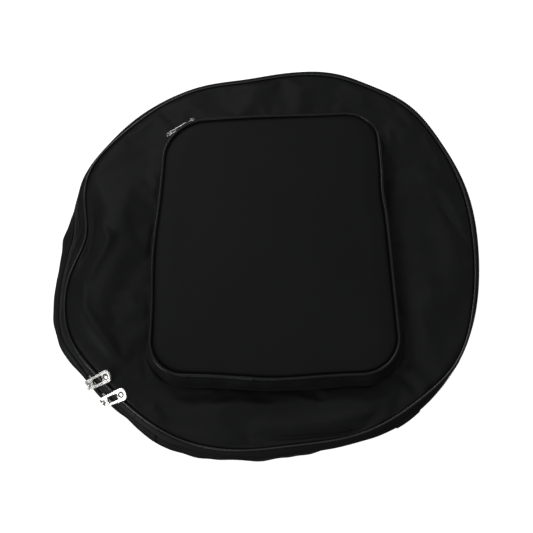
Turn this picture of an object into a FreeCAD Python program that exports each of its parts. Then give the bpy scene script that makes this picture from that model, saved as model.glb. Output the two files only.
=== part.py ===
"""Round zippered spare tyre cover with a padded front panel that opens as a lid.

The cover lies on its back: +Z points out of the front panel, +Y is the top edge
of the front panel, and the origin is the centre of the flat back. Millimetres.
"""
import FreeCAD, Part
import math
import os
import Sketcher

from FreeCAD import Matrix, Placement, Rotation, Vector

SIZES = {
    # cloth, foam and piping
    "cloth": 1.2,
    "panel_cloth": 1.4,
    "lining_cloth": 0.6,
    "foam": 5.0,
    "layer_gap": 0.2,
    "piping_radius": 1.8,
    "pocket_piping_radius": 2.4,
    # the round bag
    "rim_radius": 270.0,
    "rim_height": 72.0,
    "wall_radius": 278.2,
    "back_radius": 239.0,
    "foam_inset": 8.0,
    "binding_width": 3.0,
    "binding_height": 5.4,
    # side wall
    "lower_bend": 51.7,
    "lower_bend_height": 53.0,
    "lower_bend_sweep": 73.0,
    "shoulder_inset": 5.2,
    # main zip
    "zip_height": 58.0,
    "coil_radius": 1.1,
    "coil_ring": 277.5,
    "coil_offset": 1.8,
    "tape_thickness": 0.7,
    "tape_width": 5.2,
    "zip_gap": 10.0,
    "hinge_sweep": 72.0,
    "end_clearance": 2.5,
    "end_tab_sweep": 6.0,
    "end_tab_height": 14.0,
    "end_tab_gap": 0.4,
    # sliders of the main zip
    "slider_length": 20.0,
    "slider_width": 11.0,
    "slider_plate": 1.5,
    "plate_gap": 2.0,
    "blade": 0.9,
    "crown_height": 6.0,
    "crown_rise": 2.0,
    "crown_width": 4.0,
    "crown_radius": 2.0,
    "pin_radius": 0.8,
    "pin_length": 11.0,
    # pull tabs of the main zip
    "tab_length": 42.0,
    "tab_tail": 4.0,
    "tab_thickness": 1.8,
    "tab_pad_width": 17.0,
    "tab_tail_width": 12.0,
    "tab_window_length": 17.0,
    "tab_window_width": 6.0,
    "tab_boss": 4.2,
    "tab_boss_rise": 0.8,
    "tab_window_land": 1.5,
    "tab_window_corner": 1.5,
    # pocket
    "pocket_floor": 73.1,
    "pocket_top": 100.2,
    "pocket_top_edge": 180.0,
    "pocket_bottom_edge": 182.0,
    "pocket_top_width": 137.0,
    "pocket_bottom_width": 151.0,
    "pocket_top_corner": 32.0,
    "pocket_bottom_corner": 44.0,
    "pocket_flare": 6.0,
    "pocket_foam": 2.6,
    # pocket zip
    "pocket_zip_half": 106.0,
    "pocket_slot_width": 9.2,
    "pocket_tape_width": 8.0,
    "pocket_tape_thickness": 0.5,
    "pocket_tape_gap": 0.3,
    "pocket_tape_edge": 0.9,
    "pocket_coil_radius": 0.9,
    "pocket_coil_offset": 1.6,
    "pocket_stop_length": 2.0,
    "pocket_stop_height": 6.4,
    "pocket_stop_thickness": 2.1,
    "pocket_stop_inset": 0.8,
    "pocket_slider_length": 12.0,
    "pocket_slider_width": 9.0,
    "pocket_plate_gap": 0.5,
    "pocket_slider_plate": 1.4,
    "pocket_inner_plate": 1.2,
    "pocket_slider_start": 98.0,
    "pocket_crown_shift": 4.0,
    "pocket_crown_radius": 1.6,
    "pocket_crown_height": 8.1,
    "pocket_pin_length": 9.0,
    "pocket_tab_length": 38.5,
    "pocket_tab_width": 12.0,
    "pocket_tab_tail_width": 8.4,
    "pocket_tab_thickness": 1.6,
    "pocket_window_start": 8.5,
    "pocket_window_land": 13.0,
    "pocket_window_width": 4.0,
    "pocket_window_corner": 1.2,
    "pocket_barrel_radius": 1.8,
}

SLIDER_ANGLES = {"a": 216.0, "b": 222.0}  # degrees about +Z from +X
TAB_SKEWS = {"a": 18.0, "b": 22.0}  # how far each pull tab lies off square to its pin
TAB_SLOPE = 42.0  # how steeply a pull tab climbs over the piping
POCKET_TAB_TURN = 26.0  # how far the pocket's pull tab turns in behind the corner


class Size:
    """A number together with the sheet expression that gives it."""

    def __init__(self, value, text):
        self.value = value
        self.text = text

    def __add__(self, other):
        other = as_size(other)
        return Size(self.value + other.value, f"({self.text} + {other.text})")

    def __sub__(self, other):
        other = as_size(other)
        return Size(self.value - other.value, f"({self.text} - {other.text})")

    def __mul__(self, other):
        other = as_size(other)
        return Size(self.value * other.value, f"({self.text} * {other.text})")

    def __truediv__(self, other):
        other = as_size(other)
        return Size(self.value / other.value, f"({self.text} / {other.text})")

    def __neg__(self):
        return Size(-self.value, f"(0 - {self.text})")


def as_size(number):
    """A Size for a Size or a plain number."""
    if isinstance(number, Size):
        return number
    return Size(float(number), f"({float(number)})")


def size(alias):
    """The driving dimension of that name."""
    return Size(SIZES[alias], f"Sizes.{alias}")


def arc_degrees(length, radius):
    """The angle, in degrees, that an arc of that length takes at that radius."""
    return length / radius * (180.0 / math.pi)


def fill_sheet(doc):
    """Put every driving dimension in the sheet, with its name as alias."""
    sheet = doc.addObject("Spreadsheet::Sheet", "Sizes")
    for row, (alias, number) in enumerate(SIZES.items(), start=1):
        sheet.set(f"A{row}", alias)
        sheet.set(f"B{row}", str(number))
        sheet.setAlias(f"B{row}", alias)
    doc.recompute()


# ---- sketches ---------------------------------------------------------------


def new_body(doc, label):
    """An empty body whose label is the sub-part's name."""
    body = doc.addObject("PartDesign::Body", label)
    body.Label = label
    return body


def origin_feature(body, role):
    """One of the body's own origin planes or axes."""
    return next(f for f in body.Origin.OriginFeatures if f.Role == role)


def new_sketch(body, role, name, offset=None):
    """A sketch on one of the body's own origin planes."""
    sketch = body.newObject("Sketcher::SketchObject", name)
    sketch.AttachmentSupport = [(origin_feature(body, role), "")]
    sketch.MapMode = "FlatFace"
    if offset is not None:
        sketch.AttachmentOffset = offset
    return sketch


def bind(sketch, kind, first, at, amount):
    """Hold a point's X or Y from the sketch origin at a size."""
    index = sketch.addConstraint(Sketcher.Constraint(kind, -1, 1, first, at, amount.value))
    sketch.setExpression(f"Constraints[{index}]", amount.text)


def bind_radius(sketch, curve, amount):
    """Hold the radius of a circle or arc at a size."""
    index = sketch.addConstraint(Sketcher.Constraint("Radius", curve, amount.value))
    sketch.setExpression(f"Constraints[{index}]", amount.text)


def draw_polygon(sketch, corners):
    """A closed outline of straight lines, every corner held by the sheet."""
    corners = [(as_size(x), as_size(y)) for x, y in corners]
    points = [Vector(x.value, y.value, 0) for x, y in corners]
    lines = []
    for start, end in zip(points, points[1:] + points[:1]):
        lines.append(sketch.addGeometry(Part.LineSegment(start, end), False))
    for line, following in zip(lines, lines[1:] + lines[:1]):
        sketch.addConstraint(Sketcher.Constraint("Coincident", line, 2, following, 1))
    for line, (x, y) in zip(lines, corners):
        bind(sketch, "DistanceX", line, 1, x)
        bind(sketch, "DistanceY", line, 1, y)


def draw_box(sketch, low, high):
    """A rectangle between two opposite corners."""
    (x0, y0), (x1, y1) = low, high
    draw_polygon(sketch, [(x0, y0), (x1, y0), (x1, y1), (x0, y1)])


def draw_circle(sketch, centre, radius):
    """A circle held by its centre and radius."""
    x, y = as_size(centre[0]), as_size(centre[1])
    radius = as_size(radius)
    shape = Part.Circle(Vector(x.value, y.value, 0), Vector(0, 0, 1), radius.value)
    curve = sketch.addGeometry(shape, False)
    bind(sketch, "DistanceX", curve, 3, x)
    bind(sketch, "DistanceY", curve, 3, y)
    bind_radius(sketch, curve, radius)


def arc_between(centre, radius, start, end):
    """An arc from one angle to another, anticlockwise, in radians."""
    circle = Part.Circle(centre, Vector(0, 0, 1), radius)
    return Part.ArcOfCircle(circle, start, end)


def draw_segment(sketch, radius, chord, above):
    """The part of a disc on one side of a straight chord parallel to X."""
    half = math.sqrt(radius.value ** 2 - chord.value ** 2)
    left = Vector(-half, chord.value, 0)
    right = Vector(half, chord.value, 0)
    right_angle = math.atan2(chord.value, half)
    left_angle = math.pi - right_angle
    if above:
        curve = arc_between(Vector(0, 0, 0), radius.value, right_angle, left_angle)
        line = Part.LineSegment(left, right)
    else:
        curve = arc_between(Vector(0, 0, 0), radius.value, left_angle, right_angle + 2 * math.pi)
        line = Part.LineSegment(right, left)
    arc = sketch.addGeometry(curve, False)
    flat = sketch.addGeometry(line, False)
    sketch.addConstraint(Sketcher.Constraint("Coincident", arc, 3, -1, 1))
    sketch.addConstraint(Sketcher.Constraint("Coincident", arc, 2, flat, 1))
    sketch.addConstraint(Sketcher.Constraint("Coincident", flat, 2, arc, 1))
    sketch.addConstraint(Sketcher.Constraint("Horizontal", flat))
    bind(sketch, "DistanceY", flat, 1, chord)
    bind_radius(sketch, arc, radius)


def draw_bend(sketch, centre, outer, inner, start, end):
    """A strip bent round a centre, between two radii and two angles in degrees."""
    x, y = centre
    middle = Vector(x.value, y.value, 0)
    angles = (math.radians(start.value), math.radians(end.value))
    arcs = []
    for radius in (outer, inner):
        arc = sketch.addGeometry(arc_between(middle, radius.value, *angles), False)
        bind_radius(sketch, arc, radius)
        arcs.append(arc)
    bind(sketch, "DistanceX", arcs[0], 3, x)
    bind(sketch, "DistanceY", arcs[0], 3, y)
    sketch.addConstraint(Sketcher.Constraint("Coincident", arcs[0], 3, arcs[1], 3))
    for side, angle, amount in ((1, angles[0], start), (2, angles[1], end)):
        ray = Vector(math.cos(angle), math.sin(angle), 0)
        edge = Part.LineSegment(middle + ray * inner.value, middle + ray * outer.value)
        line = sketch.addGeometry(edge, False)
        sketch.addConstraint(Sketcher.Constraint("Coincident", line, 1, arcs[1], side))
        sketch.addConstraint(Sketcher.Constraint("Coincident", line, 2, arcs[0], side))
        if abs(amount.value) < 1e-6:
            sketch.addConstraint(Sketcher.Constraint("Horizontal", line))
            continue
        index = sketch.addConstraint(Sketcher.Constraint("Angle", line, angle))
        sketch.setExpression(f"Constraints[{index}]", f"{amount.text} * 1 deg")


def draw_rounded(sketch, corners, radii):
    """A closed outline with a round of its own radius at each corner, anticlockwise."""
    corners = [(as_size(x), as_size(y)) for x, y in corners]
    radii = [as_size(radius) for radius in radii]
    points = [Vector(x.value, y.value, 0) for x, y in corners]
    count = len(points)
    rounds = []
    for i, (point, radius) in enumerate(zip(points, radii)):
        back = (points[i - 1] - point).normalize()
        ahead = (points[(i + 1) % count] - point).normalize()
        half = math.acos(max(-1.0, min(1.0, back.dot(ahead)))) / 2
        reach = radius.value / math.tan(half)
        centre = point + (back + ahead).normalize() * (radius.value / math.sin(half))
        rounds.append((point + back * reach, point + ahead * reach, centre))
    arcs, lines = [], []
    for i, (start, end, centre) in enumerate(rounds):
        first = math.atan2(start.y - centre.y, start.x - centre.x)
        last = math.atan2(end.y - centre.y, end.x - centre.x)
        if last < first:
            last += 2 * math.pi
        arcs.append(sketch.addGeometry(arc_between(centre, radii[i].value, first, last), False))
        following = rounds[(i + 1) % count][0]
        lines.append(sketch.addGeometry(Part.LineSegment(end, following), False))
    for i in range(count):
        sketch.addConstraint(Sketcher.Constraint("Tangent", arcs[i], 2, lines[i], 1))
        sketch.addConstraint(Sketcher.Constraint("Tangent", lines[i], 2, arcs[(i + 1) % count], 1))
        bind_radius(sketch, arcs[i], radii[i])
    for i, (x, y) in enumerate(corners):
        corner = sketch.addGeometry(Part.Point(points[i]), True)
        bind(sketch, "DistanceX", corner, 1, x)
        bind(sketch, "DistanceY", corner, 1, y)
        sketch.addConstraint(Sketcher.Constraint("PointOnObject", corner, 1, lines[i]))
        sketch.addConstraint(Sketcher.Constraint("PointOnObject", corner, 1, lines[i - 1]))


# ---- features ---------------------------------------------------------------


def at_height(height):
    """A sketch offset that lifts the sketch plane by a plain height."""
    return Placement(Vector(0, 0, height), Rotation())


def lift(sketch, height):
    """Raise a sketch above its plane by a size."""
    sketch.AttachmentOffset = at_height(height.value)
    sketch.setExpression("AttachmentOffset.Base.z", height.text)


def pad(body, sketch, length, middle=False):
    """Thicken a sketch, upwards or to both sides of its plane."""
    feature = body.newObject("PartDesign::Pad", "Pad")
    feature.Profile = sketch
    feature.Length = length.value
    feature.setExpression("Length", length.text)
    if middle:
        feature.SideType = "Symmetric"
    return feature


def cut(body, sketch, length):
    """Cut a sketch through the body, to both sides of its plane."""
    feature = body.newObject("PartDesign::Pocket", "Pocket")
    feature.Profile = sketch
    feature.Length = length.value
    feature.setExpression("Length", length.text)
    feature.SideType = "Symmetric"
    return feature


def spin(body, sketch, sweep):
    """Sweep a sketch round the vertical axis, equally to both sides of its plane."""
    feature = body.newObject("PartDesign::Revolution", "Revolution")
    feature.Profile = sketch
    feature.ReferenceAxis = (sketch, ["V_Axis"])
    feature.Angle = min(sweep.value, 360.0)
    if sweep.value < 360.0:
        feature.Midplane = True
        feature.setExpression("Angle", f"{sweep.text} * 1 deg")
    return feature


FULL_TURN = as_size(360.0)


def ring_box(doc, label, low, high, sweep):
    """A ring, or part of one centred on the YZ plane, with a rectangular section."""
    body = new_body(doc, label)
    sketch = new_sketch(body, "YZ_Plane", "Section")
    draw_box(sketch, low, high)
    spin(body, sketch, sweep)
    return body


def ring_cord(doc, label, centre, radius, sweep):
    """A ring, or part of one centred on the YZ plane, with a round section."""
    body = new_body(doc, label)
    sketch = new_sketch(body, "YZ_Plane", "Section")
    draw_circle(sketch, centre, radius)
    spin(body, sketch, sweep)
    return body


def disc(doc, label, radius, bottom, thickness):
    """A flat round layer."""
    body = new_body(doc, label)
    sketch = new_sketch(body, "XY_Plane", "Outline")
    draw_circle(sketch, (0, 0), radius)
    lift(sketch, bottom)
    pad(body, sketch, thickness)
    return body


def disc_segment(doc, label, radius, chord, above, bottom, thickness):
    """A flat round layer cut along the fold line."""
    body = new_body(doc, label)
    sketch = new_sketch(body, "XY_Plane", "Outline")
    draw_segment(sketch, radius, chord, above)
    lift(sketch, bottom)
    pad(body, sketch, thickness)
    return body


# ---- the bag's layout -------------------------------------------------------

TAPE_RECESS = 0.9  # from the wall's inner face to the zip tape
TAPE_OVERHANG = 1.0  # how far the tape reaches under its coil
PIPING_GAP = 0.4  # between a seam's piping and the flat cloth inside it
GROUND_GAP = 0.1  # keeps the back piping off the ground
BINDING_GAP = 1.0  # between the cloth's edge and the tape that binds it
FOLD_GAP = 0.4  # half the gap where the front panel folds
FOAM_FOLD_GAP = 3.0  # how far the lid's padding stops short of the fold
SEAM_DROP = 0.1  # how far the wall ends below the piping's centre
SHOULDER_LEAN = 0.86  # the wall's thickness across, where it leans in at the seam
HINGE_SIDE_GAP = 0.2  # degrees between the hinge panel and the zipped wall
PIPING_END = 0.6  # degrees left between the two stretches of front piping
PIPING_OVERRUN = 3.0  # degrees that the lid's piping runs past its wall
END_TAB_OVERLAP = 2.0  # degrees of an end tab that lie over the zip
REAR_TAPE_EXTRA = 2.0  # how much wider the rear tape is than the front one

zip_sweep = as_size(360) - size("hinge_sweep")
lid_sweep = zip_sweep - size("end_clearance") * 2
inner_wall = size("wall_radius") - size("cloth")
tape_outside = inner_wall - TAPE_RECESS
tape_inside = tape_outside - size("tape_thickness")
tape_edge = size("coil_offset") - TAPE_OVERHANG
wall_split = size("zip_height") + size("zip_gap") / 2
panel_top = size("rim_height") + size("piping_radius") / 2
panel_bottom = panel_top - size("panel_cloth")
panel_radius = size("rim_radius") - size("piping_radius") - PIPING_GAP
FOLD_COSINE = math.cos(math.radians(SIZES["hinge_sweep"] / 2))
fold_line = -(size("rim_radius") * FOLD_COSINE)


def back_panel(doc):
    """The flat cloth that the cover lies on."""
    edge = size("back_radius") - size("piping_radius") - PIPING_GAP
    return disc(doc, "back_panel", edge, as_size(0), size("panel_cloth"))


def back_foam(doc):
    """The padding on the back panel."""
    edge = size("back_radius") - size("foam_inset")
    return disc(doc, "back_foam", edge, size("panel_cloth") + size("layer_gap"), size("foam"))


def back_lining(doc):
    """The cloth over the back padding, inside the cover."""
    edge = size("back_radius") - size("foam_inset")
    bottom = size("panel_cloth") + size("foam") + size("layer_gap") * 2
    return disc(doc, "back_lining", edge, bottom, size("lining_cloth"))


def back_piping(doc):
    """The cord edge round the back panel, clear of the ground."""
    centre = (size("back_radius"), size("piping_radius") + GROUND_GAP)
    return ring_cord(doc, "back_piping", centre, size("piping_radius"), FULL_TURN)


def back_seam_binding(doc):
    """The tape that binds the back seam, inside the cover."""
    outside = size("back_radius") - size("piping_radius") - PIPING_GAP - BINDING_GAP
    bottom = size("panel_cloth") + size("layer_gap")
    low = (outside - size("binding_width"), bottom)
    high = (outside, bottom + size("binding_height"))
    return ring_box(doc, "back_seam_binding", low, high, FULL_TURN)


def lower_bend(body, side, outside, thickness, sweep):
    """The round of the wall from the back seam up to the zip, at +Y or -Y."""
    centre = (side * (outside - size("lower_bend")), size("lower_bend_height"))
    sketch = new_sketch(body, "YZ_Plane", "LowerBend")
    outer = size("lower_bend")
    if side.value > 0:
        start, end = -size("lower_bend_sweep"), as_size(0)
    else:
        start, end = as_size(180), size("lower_bend_sweep") + 180
    draw_bend(sketch, centre, outer, outer - thickness, start, end)
    spin(body, sketch, sweep)


def shoulder(body, side, outside, thickness, sweep):
    """The stretch of the wall that leans in from the zip to the front seam."""
    sketch = new_sketch(body, "YZ_Plane", "Shoulder")
    seam = outside - size("shoulder_inset")
    top = size("rim_height") - SEAM_DROP
    outline = [
        (side * (outside - thickness), wall_split),
        (side * outside, wall_split),
        (side * seam, top),
        (side * (seam - thickness * SHOULDER_LEAN), top - thickness / 2),
    ]
    draw_polygon(sketch, outline)
    spin(body, sketch, sweep)


def upright(body, side, outside, thickness, sweep):
    """The upright stretch of the wall beside the zip's height."""
    sketch = new_sketch(body, "YZ_Plane", "Upright")
    near, far = side * (outside - thickness), side * outside
    draw_box(sketch, (near, size("lower_bend_height")), (far, wall_split))
    spin(body, sketch, sweep)


def rear_gusset(doc):
    """The side wall from the back panel to the zip."""
    body = new_body(doc, "rear_gusset")
    lower_bend(body, as_size(1), size("wall_radius"), size("cloth"), zip_sweep)
    return body


def front_gusset(doc):
    """The side wall from the zip to the front panel, which opens with the lid."""
    body = new_body(doc, "front_gusset")
    shoulder(body, as_size(1), size("wall_radius"), size("cloth"), lid_sweep)
    return body


def hinge_panel(doc):
    """The unzipped stretch of side wall, of doubled cloth, that joins lid and back."""
    body = new_body(doc, "hinge_panel")
    outside = size("coil_ring") + size("coil_radius")
    thickness = outside - inner_wall
    sweep = size("hinge_sweep") - HINGE_SIDE_GAP
    lower_bend(body, as_size(-1), outside, thickness, sweep)
    upright(body, as_size(-1), outside, thickness, sweep)
    shoulder(body, as_size(-1), outside, thickness, sweep)
    return body


def zip_end_tab(doc, label, side):
    """A sewn patch of cloth over one end of the zip."""
    inside = size("coil_ring") + size("coil_radius") + size("end_tab_gap")
    half = size("end_tab_height") / 2
    low = (inside, size("zip_height") - half)
    high = (inside + size("cloth"), size("zip_height") + half)
    body = ring_box(doc, label, low, high, size("end_tab_sweep"))
    turn = (SIZES["end_tab_sweep"] - SIZES["hinge_sweep"]) / 2 - END_TAB_OVERLAP + 180.0
    body.Placement = Placement(Vector(0, 0, 0), Rotation(Vector(0, 0, 1), side * turn))
    return body


def rear_zip_tape(doc):
    """The zip tape sewn inside the rear gusset."""
    top = size("zip_height") - tape_edge
    low = (tape_inside, top - size("tape_width") - REAR_TAPE_EXTRA)
    return ring_box(doc, "rear_zip_tape", low, (tape_outside, top), zip_sweep)


def front_zip_tape(doc):
    """The zip tape sewn inside the front gusset."""
    bottom = size("zip_height") + tape_edge
    high = (tape_outside, bottom + size("tape_width"))
    return ring_box(doc, "front_zip_tape", (tape_inside, bottom), high, lid_sweep)


def rear_zip_coil(doc):
    """The row of teeth on the rear tape, as one round strand."""
    centre = (size("coil_ring"), size("zip_height") - size("coil_offset"))
    return ring_cord(doc, "rear_zip_coil", centre, size("coil_radius"), zip_sweep)


def front_zip_coil(doc):
    """The row of teeth on the front tape, as one round strand."""
    centre = (size("coil_ring"), size("zip_height") + size("coil_offset"))
    return ring_cord(doc, "front_zip_coil", centre, size("coil_radius"), lid_sweep)


def front_panel(doc):
    """The outer cloth of the lid, up to the fold."""
    chord = fold_line + FOLD_GAP
    thick = size("panel_cloth")
    return disc_segment(doc, "front_panel", panel_radius, chord, True, panel_bottom, thick)


def front_panel_fold(doc):
    """The outer cloth past the fold, which stays with the hinge panel."""
    chord = fold_line - FOLD_GAP
    thick = size("panel_cloth")
    return disc_segment(doc, "front_panel_fold", panel_radius, chord, False, panel_bottom, thick)


def front_foam(doc):
    """The padding of the lid, which ends at the fold."""
    bottom = panel_bottom - size("layer_gap") - size("foam")
    edge = size("rim_radius") - size("foam_inset")
    return disc_segment(doc, "front_foam", edge, fold_line + FOAM_FOLD_GAP, True, bottom, size("foam"))


def front_lining(doc):
    """The inner cloth of the lid."""
    thick = size("lining_cloth")
    bottom = panel_bottom - size("layer_gap") * 2 - size("foam") - thick
    edge = size("rim_radius") - size("foam_inset")
    return disc_segment(doc, "front_lining", edge, fold_line + FOAM_FOLD_GAP, True, bottom, thick)


def front_piping(doc):
    """The cord edge round the lid."""
    centre = (size("rim_radius"), size("rim_height"))
    sweep = lid_sweep + PIPING_OVERRUN
    return ring_cord(doc, "front_piping", centre, size("piping_radius"), sweep)


def front_piping_fold(doc):
    """The same cord edge past the fold."""
    centre = (-size("rim_radius"), size("rim_height"))
    sweep = size("hinge_sweep") - PIPING_END
    return ring_cord(doc, "front_piping_fold", centre, size("piping_radius"), sweep)


def front_seam_binding(doc):
    """The tape that binds the front seam, inside the lid."""
    outside = panel_radius - BINDING_GAP
    top = panel_bottom - size("layer_gap")
    low = (outside - size("binding_width"), top - size("binding_height"))
    return ring_box(doc, "front_seam_binding", low, (outside, top), lid_sweep)


# ---- pocket -----------------------------------------------------------------

POCKET_SEAM_GAP = 0.3  # between the pocket's piping and the cloth beside it
POCKET_LAYER_GAP = 0.1
SLOT_END = 1.0  # how far the zip's slot runs past the zip
COIL_END = 3.0  # how far the coil stops short of each end of its tape


def draw_pocket_outline(sketch, grow):
    """The pocket's rounded outline, grown outwards by a size."""
    top = size("pocket_top_edge") + grow
    bottom = -(size("pocket_bottom_edge") + grow)
    upper = size("pocket_top_width") + grow
    lower = size("pocket_bottom_width") + grow
    corners = [(-lower, bottom), (lower, bottom), (upper, top), (-upper, top)]
    low_round = size("pocket_bottom_corner") + grow
    high_round = size("pocket_top_corner") + grow
    draw_rounded(sketch, corners, [low_round, low_round, high_round, high_round])


def pocket_layer(doc, label, bottom, thickness, shrink):
    """A flat layer of the pocket's face."""
    body = new_body(doc, label)
    sketch = new_sketch(body, "XY_Plane", "Outline")
    draw_pocket_outline(sketch, -shrink)
    lift(sketch, bottom)
    pad(body, sketch, thickness)
    return body


pocket_wall_top = size("pocket_top") - size("pocket_piping_radius") - POCKET_SEAM_GAP
pocket_wall_height = pocket_wall_top - size("pocket_floor")
pocket_panel_bottom = size("pocket_top") - size("panel_cloth") / 2
POCKET_LEAN = math.degrees(math.atan2(SIZES["pocket_flare"], pocket_wall_height.value))


def pocket_wall_placement():
    """Puts local Y square out of the pocket's top wall and local Z up along it."""
    middle_height = SIZES["pocket_floor"] + pocket_wall_height.value / 2
    middle_reach = SIZES["pocket_top_edge"] + SIZES["pocket_flare"] / 2
    turn = Rotation(Vector(1, 0, 0), POCKET_LEAN)
    return Placement(Vector(0, middle_reach, middle_height), turn)


def wall_loft(body, kind, name, grow_low, grow_high):
    """A tapering block between the pocket's outline at its foot and at its top."""
    foot = new_sketch(body, "XY_Plane", name + "Foot")
    draw_pocket_outline(foot, grow_low)
    lift(foot, size("pocket_floor"))
    head = new_sketch(body, "XY_Plane", name + "Head")
    draw_pocket_outline(head, grow_high)
    lift(head, pocket_wall_top)
    feature = body.newObject(kind, name)
    feature.Profile = foot
    feature.Sections = [head]
    feature.Ruled = True
    return feature


def pocket_gusset(doc):
    """The raised side of the pocket, with the slot for its zip along the top wall."""
    body = new_body(doc, "pocket_gusset")
    flare, cloth = size("pocket_flare"), size("panel_cloth")
    wall_loft(body, "PartDesign::AdditiveLoft", "Outside", flare, as_size(0))
    wall_loft(body, "PartDesign::SubtractiveLoft", "Inside", flare - cloth, -cloth)
    slot = new_sketch(body, "XZ_Plane", "ZipSlot")
    half = size("pocket_zip_half") + SLOT_END
    middle = size("pocket_floor") + pocket_wall_height / 2
    reach = size("pocket_slot_width") / 2
    draw_box(slot, (-half, middle - reach), (half, middle + reach))
    slot.AttachmentOffset = Placement(Vector(0, 0, -SIZES["pocket_top_edge"]), Rotation())
    cut(body, slot, as_size(40))
    return body


def pocket_panel(doc):
    """The outer cloth of the pocket's face."""
    shrink = size("pocket_piping_radius") + POCKET_SEAM_GAP
    return pocket_layer(doc, "pocket_panel", pocket_panel_bottom, size("panel_cloth"), shrink)


def pocket_foam(doc):
    """The stiffening layer behind the pocket's face."""
    bottom = pocket_panel_bottom - POCKET_LAYER_GAP - size("pocket_foam")
    return pocket_layer(doc, "pocket_foam", bottom, size("pocket_foam"), size("foam_inset"))


def pocket_lining(doc):
    """The inner cloth behind the pocket's stiffening."""
    top = pocket_panel_bottom - size("pocket_foam") - POCKET_LAYER_GAP * 2
    thick = size("lining_cloth")
    return pocket_layer(doc, "pocket_lining", top - thick, thick, size("foam_inset"))


def pocket_piping(doc):
    """The cord edge round the pocket's face."""
    body = new_body(doc, "pocket_piping")
    path = new_sketch(body, "XY_Plane", "Path")
    draw_pocket_outline(path, as_size(0))
    lift(path, size("pocket_top"))
    section = new_sketch(body, "YZ_Plane", "Section")
    centre = (-size("pocket_bottom_edge"), size("pocket_top"))
    draw_circle(section, centre, size("pocket_piping_radius"))
    feature = body.newObject("PartDesign::AdditivePipe", "Pipe")
    feature.Profile = section
    feature.Spine = (path, [f"Edge{i}" for i in range(1, 9)])
    return body


def wall_box(body, name, low, high, length):
    """A bar along local X with a rectangular section in the wall's own plane."""
    sketch = new_sketch(body, "YZ_Plane", name)
    draw_box(sketch, low, high)
    pad(body, sketch, length, middle=True)


pocket_tape_face = -(size("panel_cloth") + size("pocket_tape_gap"))
pocket_tape_back = pocket_tape_face - size("pocket_tape_thickness")


def pocket_zip_tape(doc, label, side):
    """A zip tape behind one edge of the pocket's slot."""
    body = new_body(doc, label)
    near = size("pocket_tape_edge")
    far = near + size("pocket_tape_width")
    if side < 0:
        near, far = -far, -near
    length = size("pocket_zip_half") * 2
    wall_box(body, "Section", (pocket_tape_back, near), (pocket_tape_face, far), length)
    body.Placement = pocket_wall_placement()
    return body


def pocket_zip_coil(doc, label, side):
    """The teeth on one of the pocket's tapes, as one round strand."""
    body = new_body(doc, label)
    sketch = new_sketch(body, "YZ_Plane", "Section")
    radius = size("pocket_coil_radius")
    depth = pocket_tape_face + radius + POCKET_LAYER_GAP
    draw_circle(sketch, (depth, size("pocket_coil_offset") * side), radius)
    pad(body, sketch, (size("pocket_zip_half") - COIL_END) * 2, middle=True)
    body.Placement = pocket_wall_placement()
    return body


def pocket_zip_stop(doc, label, side):
    """The small metal clip that ends the pocket's zip."""
    body = new_body(doc, label)
    sketch = new_sketch(body, "YZ_Plane", "Section")
    half, thick = size("pocket_stop_height") / 2, size("pocket_stop_thickness")
    near = pocket_tape_face + POCKET_LAYER_GAP
    draw_box(sketch, (near, -half), (near + thick, half))
    pad(body, sketch, size("pocket_stop_length"), middle=True)
    inset = SIZES["pocket_stop_inset"]
    shift = Vector(side * (SIZES["pocket_zip_half"] - inset), 0, 0)
    place = pocket_wall_placement()
    body.Placement = Placement(place.Base + shift, place.Rotation)
    return body


# ---- sliders and pull tabs --------------------------------------------------

RUN_IN = 0.4  # how deep the features of one metal part run into each other
TAPE_CLEARANCE = 0.4  # between a slider's inner plate and the zip tape
PIN_CLEARANCE = 0.1
CROWN_CLEARANCE = 0.35
CROWN_SLOT_DEPTH = 3.0  # how far the slot in a tab's fork reaches past the crown
PAD_ROUNDING, TAIL_ROUNDING = 0.42, 0.3  # corner radii of a pull tab over its widths
TAB_END_PLAY = 1.4  # how much shorter a tab's barrel is than its pin

through = as_size(40)  # a cut that is sure to pass right through a pull tab
plate_inside = size("coil_ring") + size("coil_radius") + size("plate_gap")
plate_outside = plate_inside + size("slider_plate")
crown_reach = plate_outside + size("crown_height")
crown_level = size("zip_height") + size("crown_rise")


def zip_slider(doc, label, angle):
    """A slider of the main zip: outer plate, blade between the coils, inner plate, crown.

    The inner plate spans the front tape only, so that the slider leaves with the lid.
    """
    body = new_body(doc, label)
    half = size("slider_width") / 2
    blade = size("blade") / 2
    middle = size("zip_height")
    inner_face = tape_inside - TAPE_CLEARANCE
    inner_back = inner_face - size("slider_plate")
    outline = [
        (inner_back, middle - blade),
        (plate_inside, middle - blade),
        (plate_inside, middle - half),
        (plate_outside, middle - half),
        (plate_outside, middle + half),
        (plate_inside, middle + half),
        (plate_inside, middle + blade),
        (inner_face, middle + blade),
        (inner_face, middle + half),
        (inner_back, middle + half),
    ]
    sketch = new_sketch(body, "YZ_Plane", "Section")
    draw_polygon(sketch, outline)
    spin(body, sketch, arc_degrees(size("slider_length"), size("coil_ring")))
    post = new_sketch(body, "YZ_Plane", "Post")
    radius = size("crown_radius")
    low = (plate_outside - RUN_IN, crown_level - radius)
    draw_box(post, low, (crown_reach, crown_level + radius))
    pad(body, post, size("crown_width"), middle=True)
    crown = (crown_reach, crown_level)
    for name, round_radius, length in (
        ("Crown", radius, size("crown_width")),
        ("Pin", size("pin_radius"), size("pin_length")),
    ):
        round_end = new_sketch(body, "YZ_Plane", name)
        draw_circle(round_end, crown, round_radius)
        pad(body, round_end, length, middle=True)
    body.Placement = Placement(Vector(0, 0, 0), Rotation(Vector(0, 0, 1), angle - 90.0))
    return body


def turned(angle):
    """A sketch offset that turns a sketch in its own plane."""
    return Placement(Vector(0, 0, 0), Rotation(Vector(0, 0, 1), angle))


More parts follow.
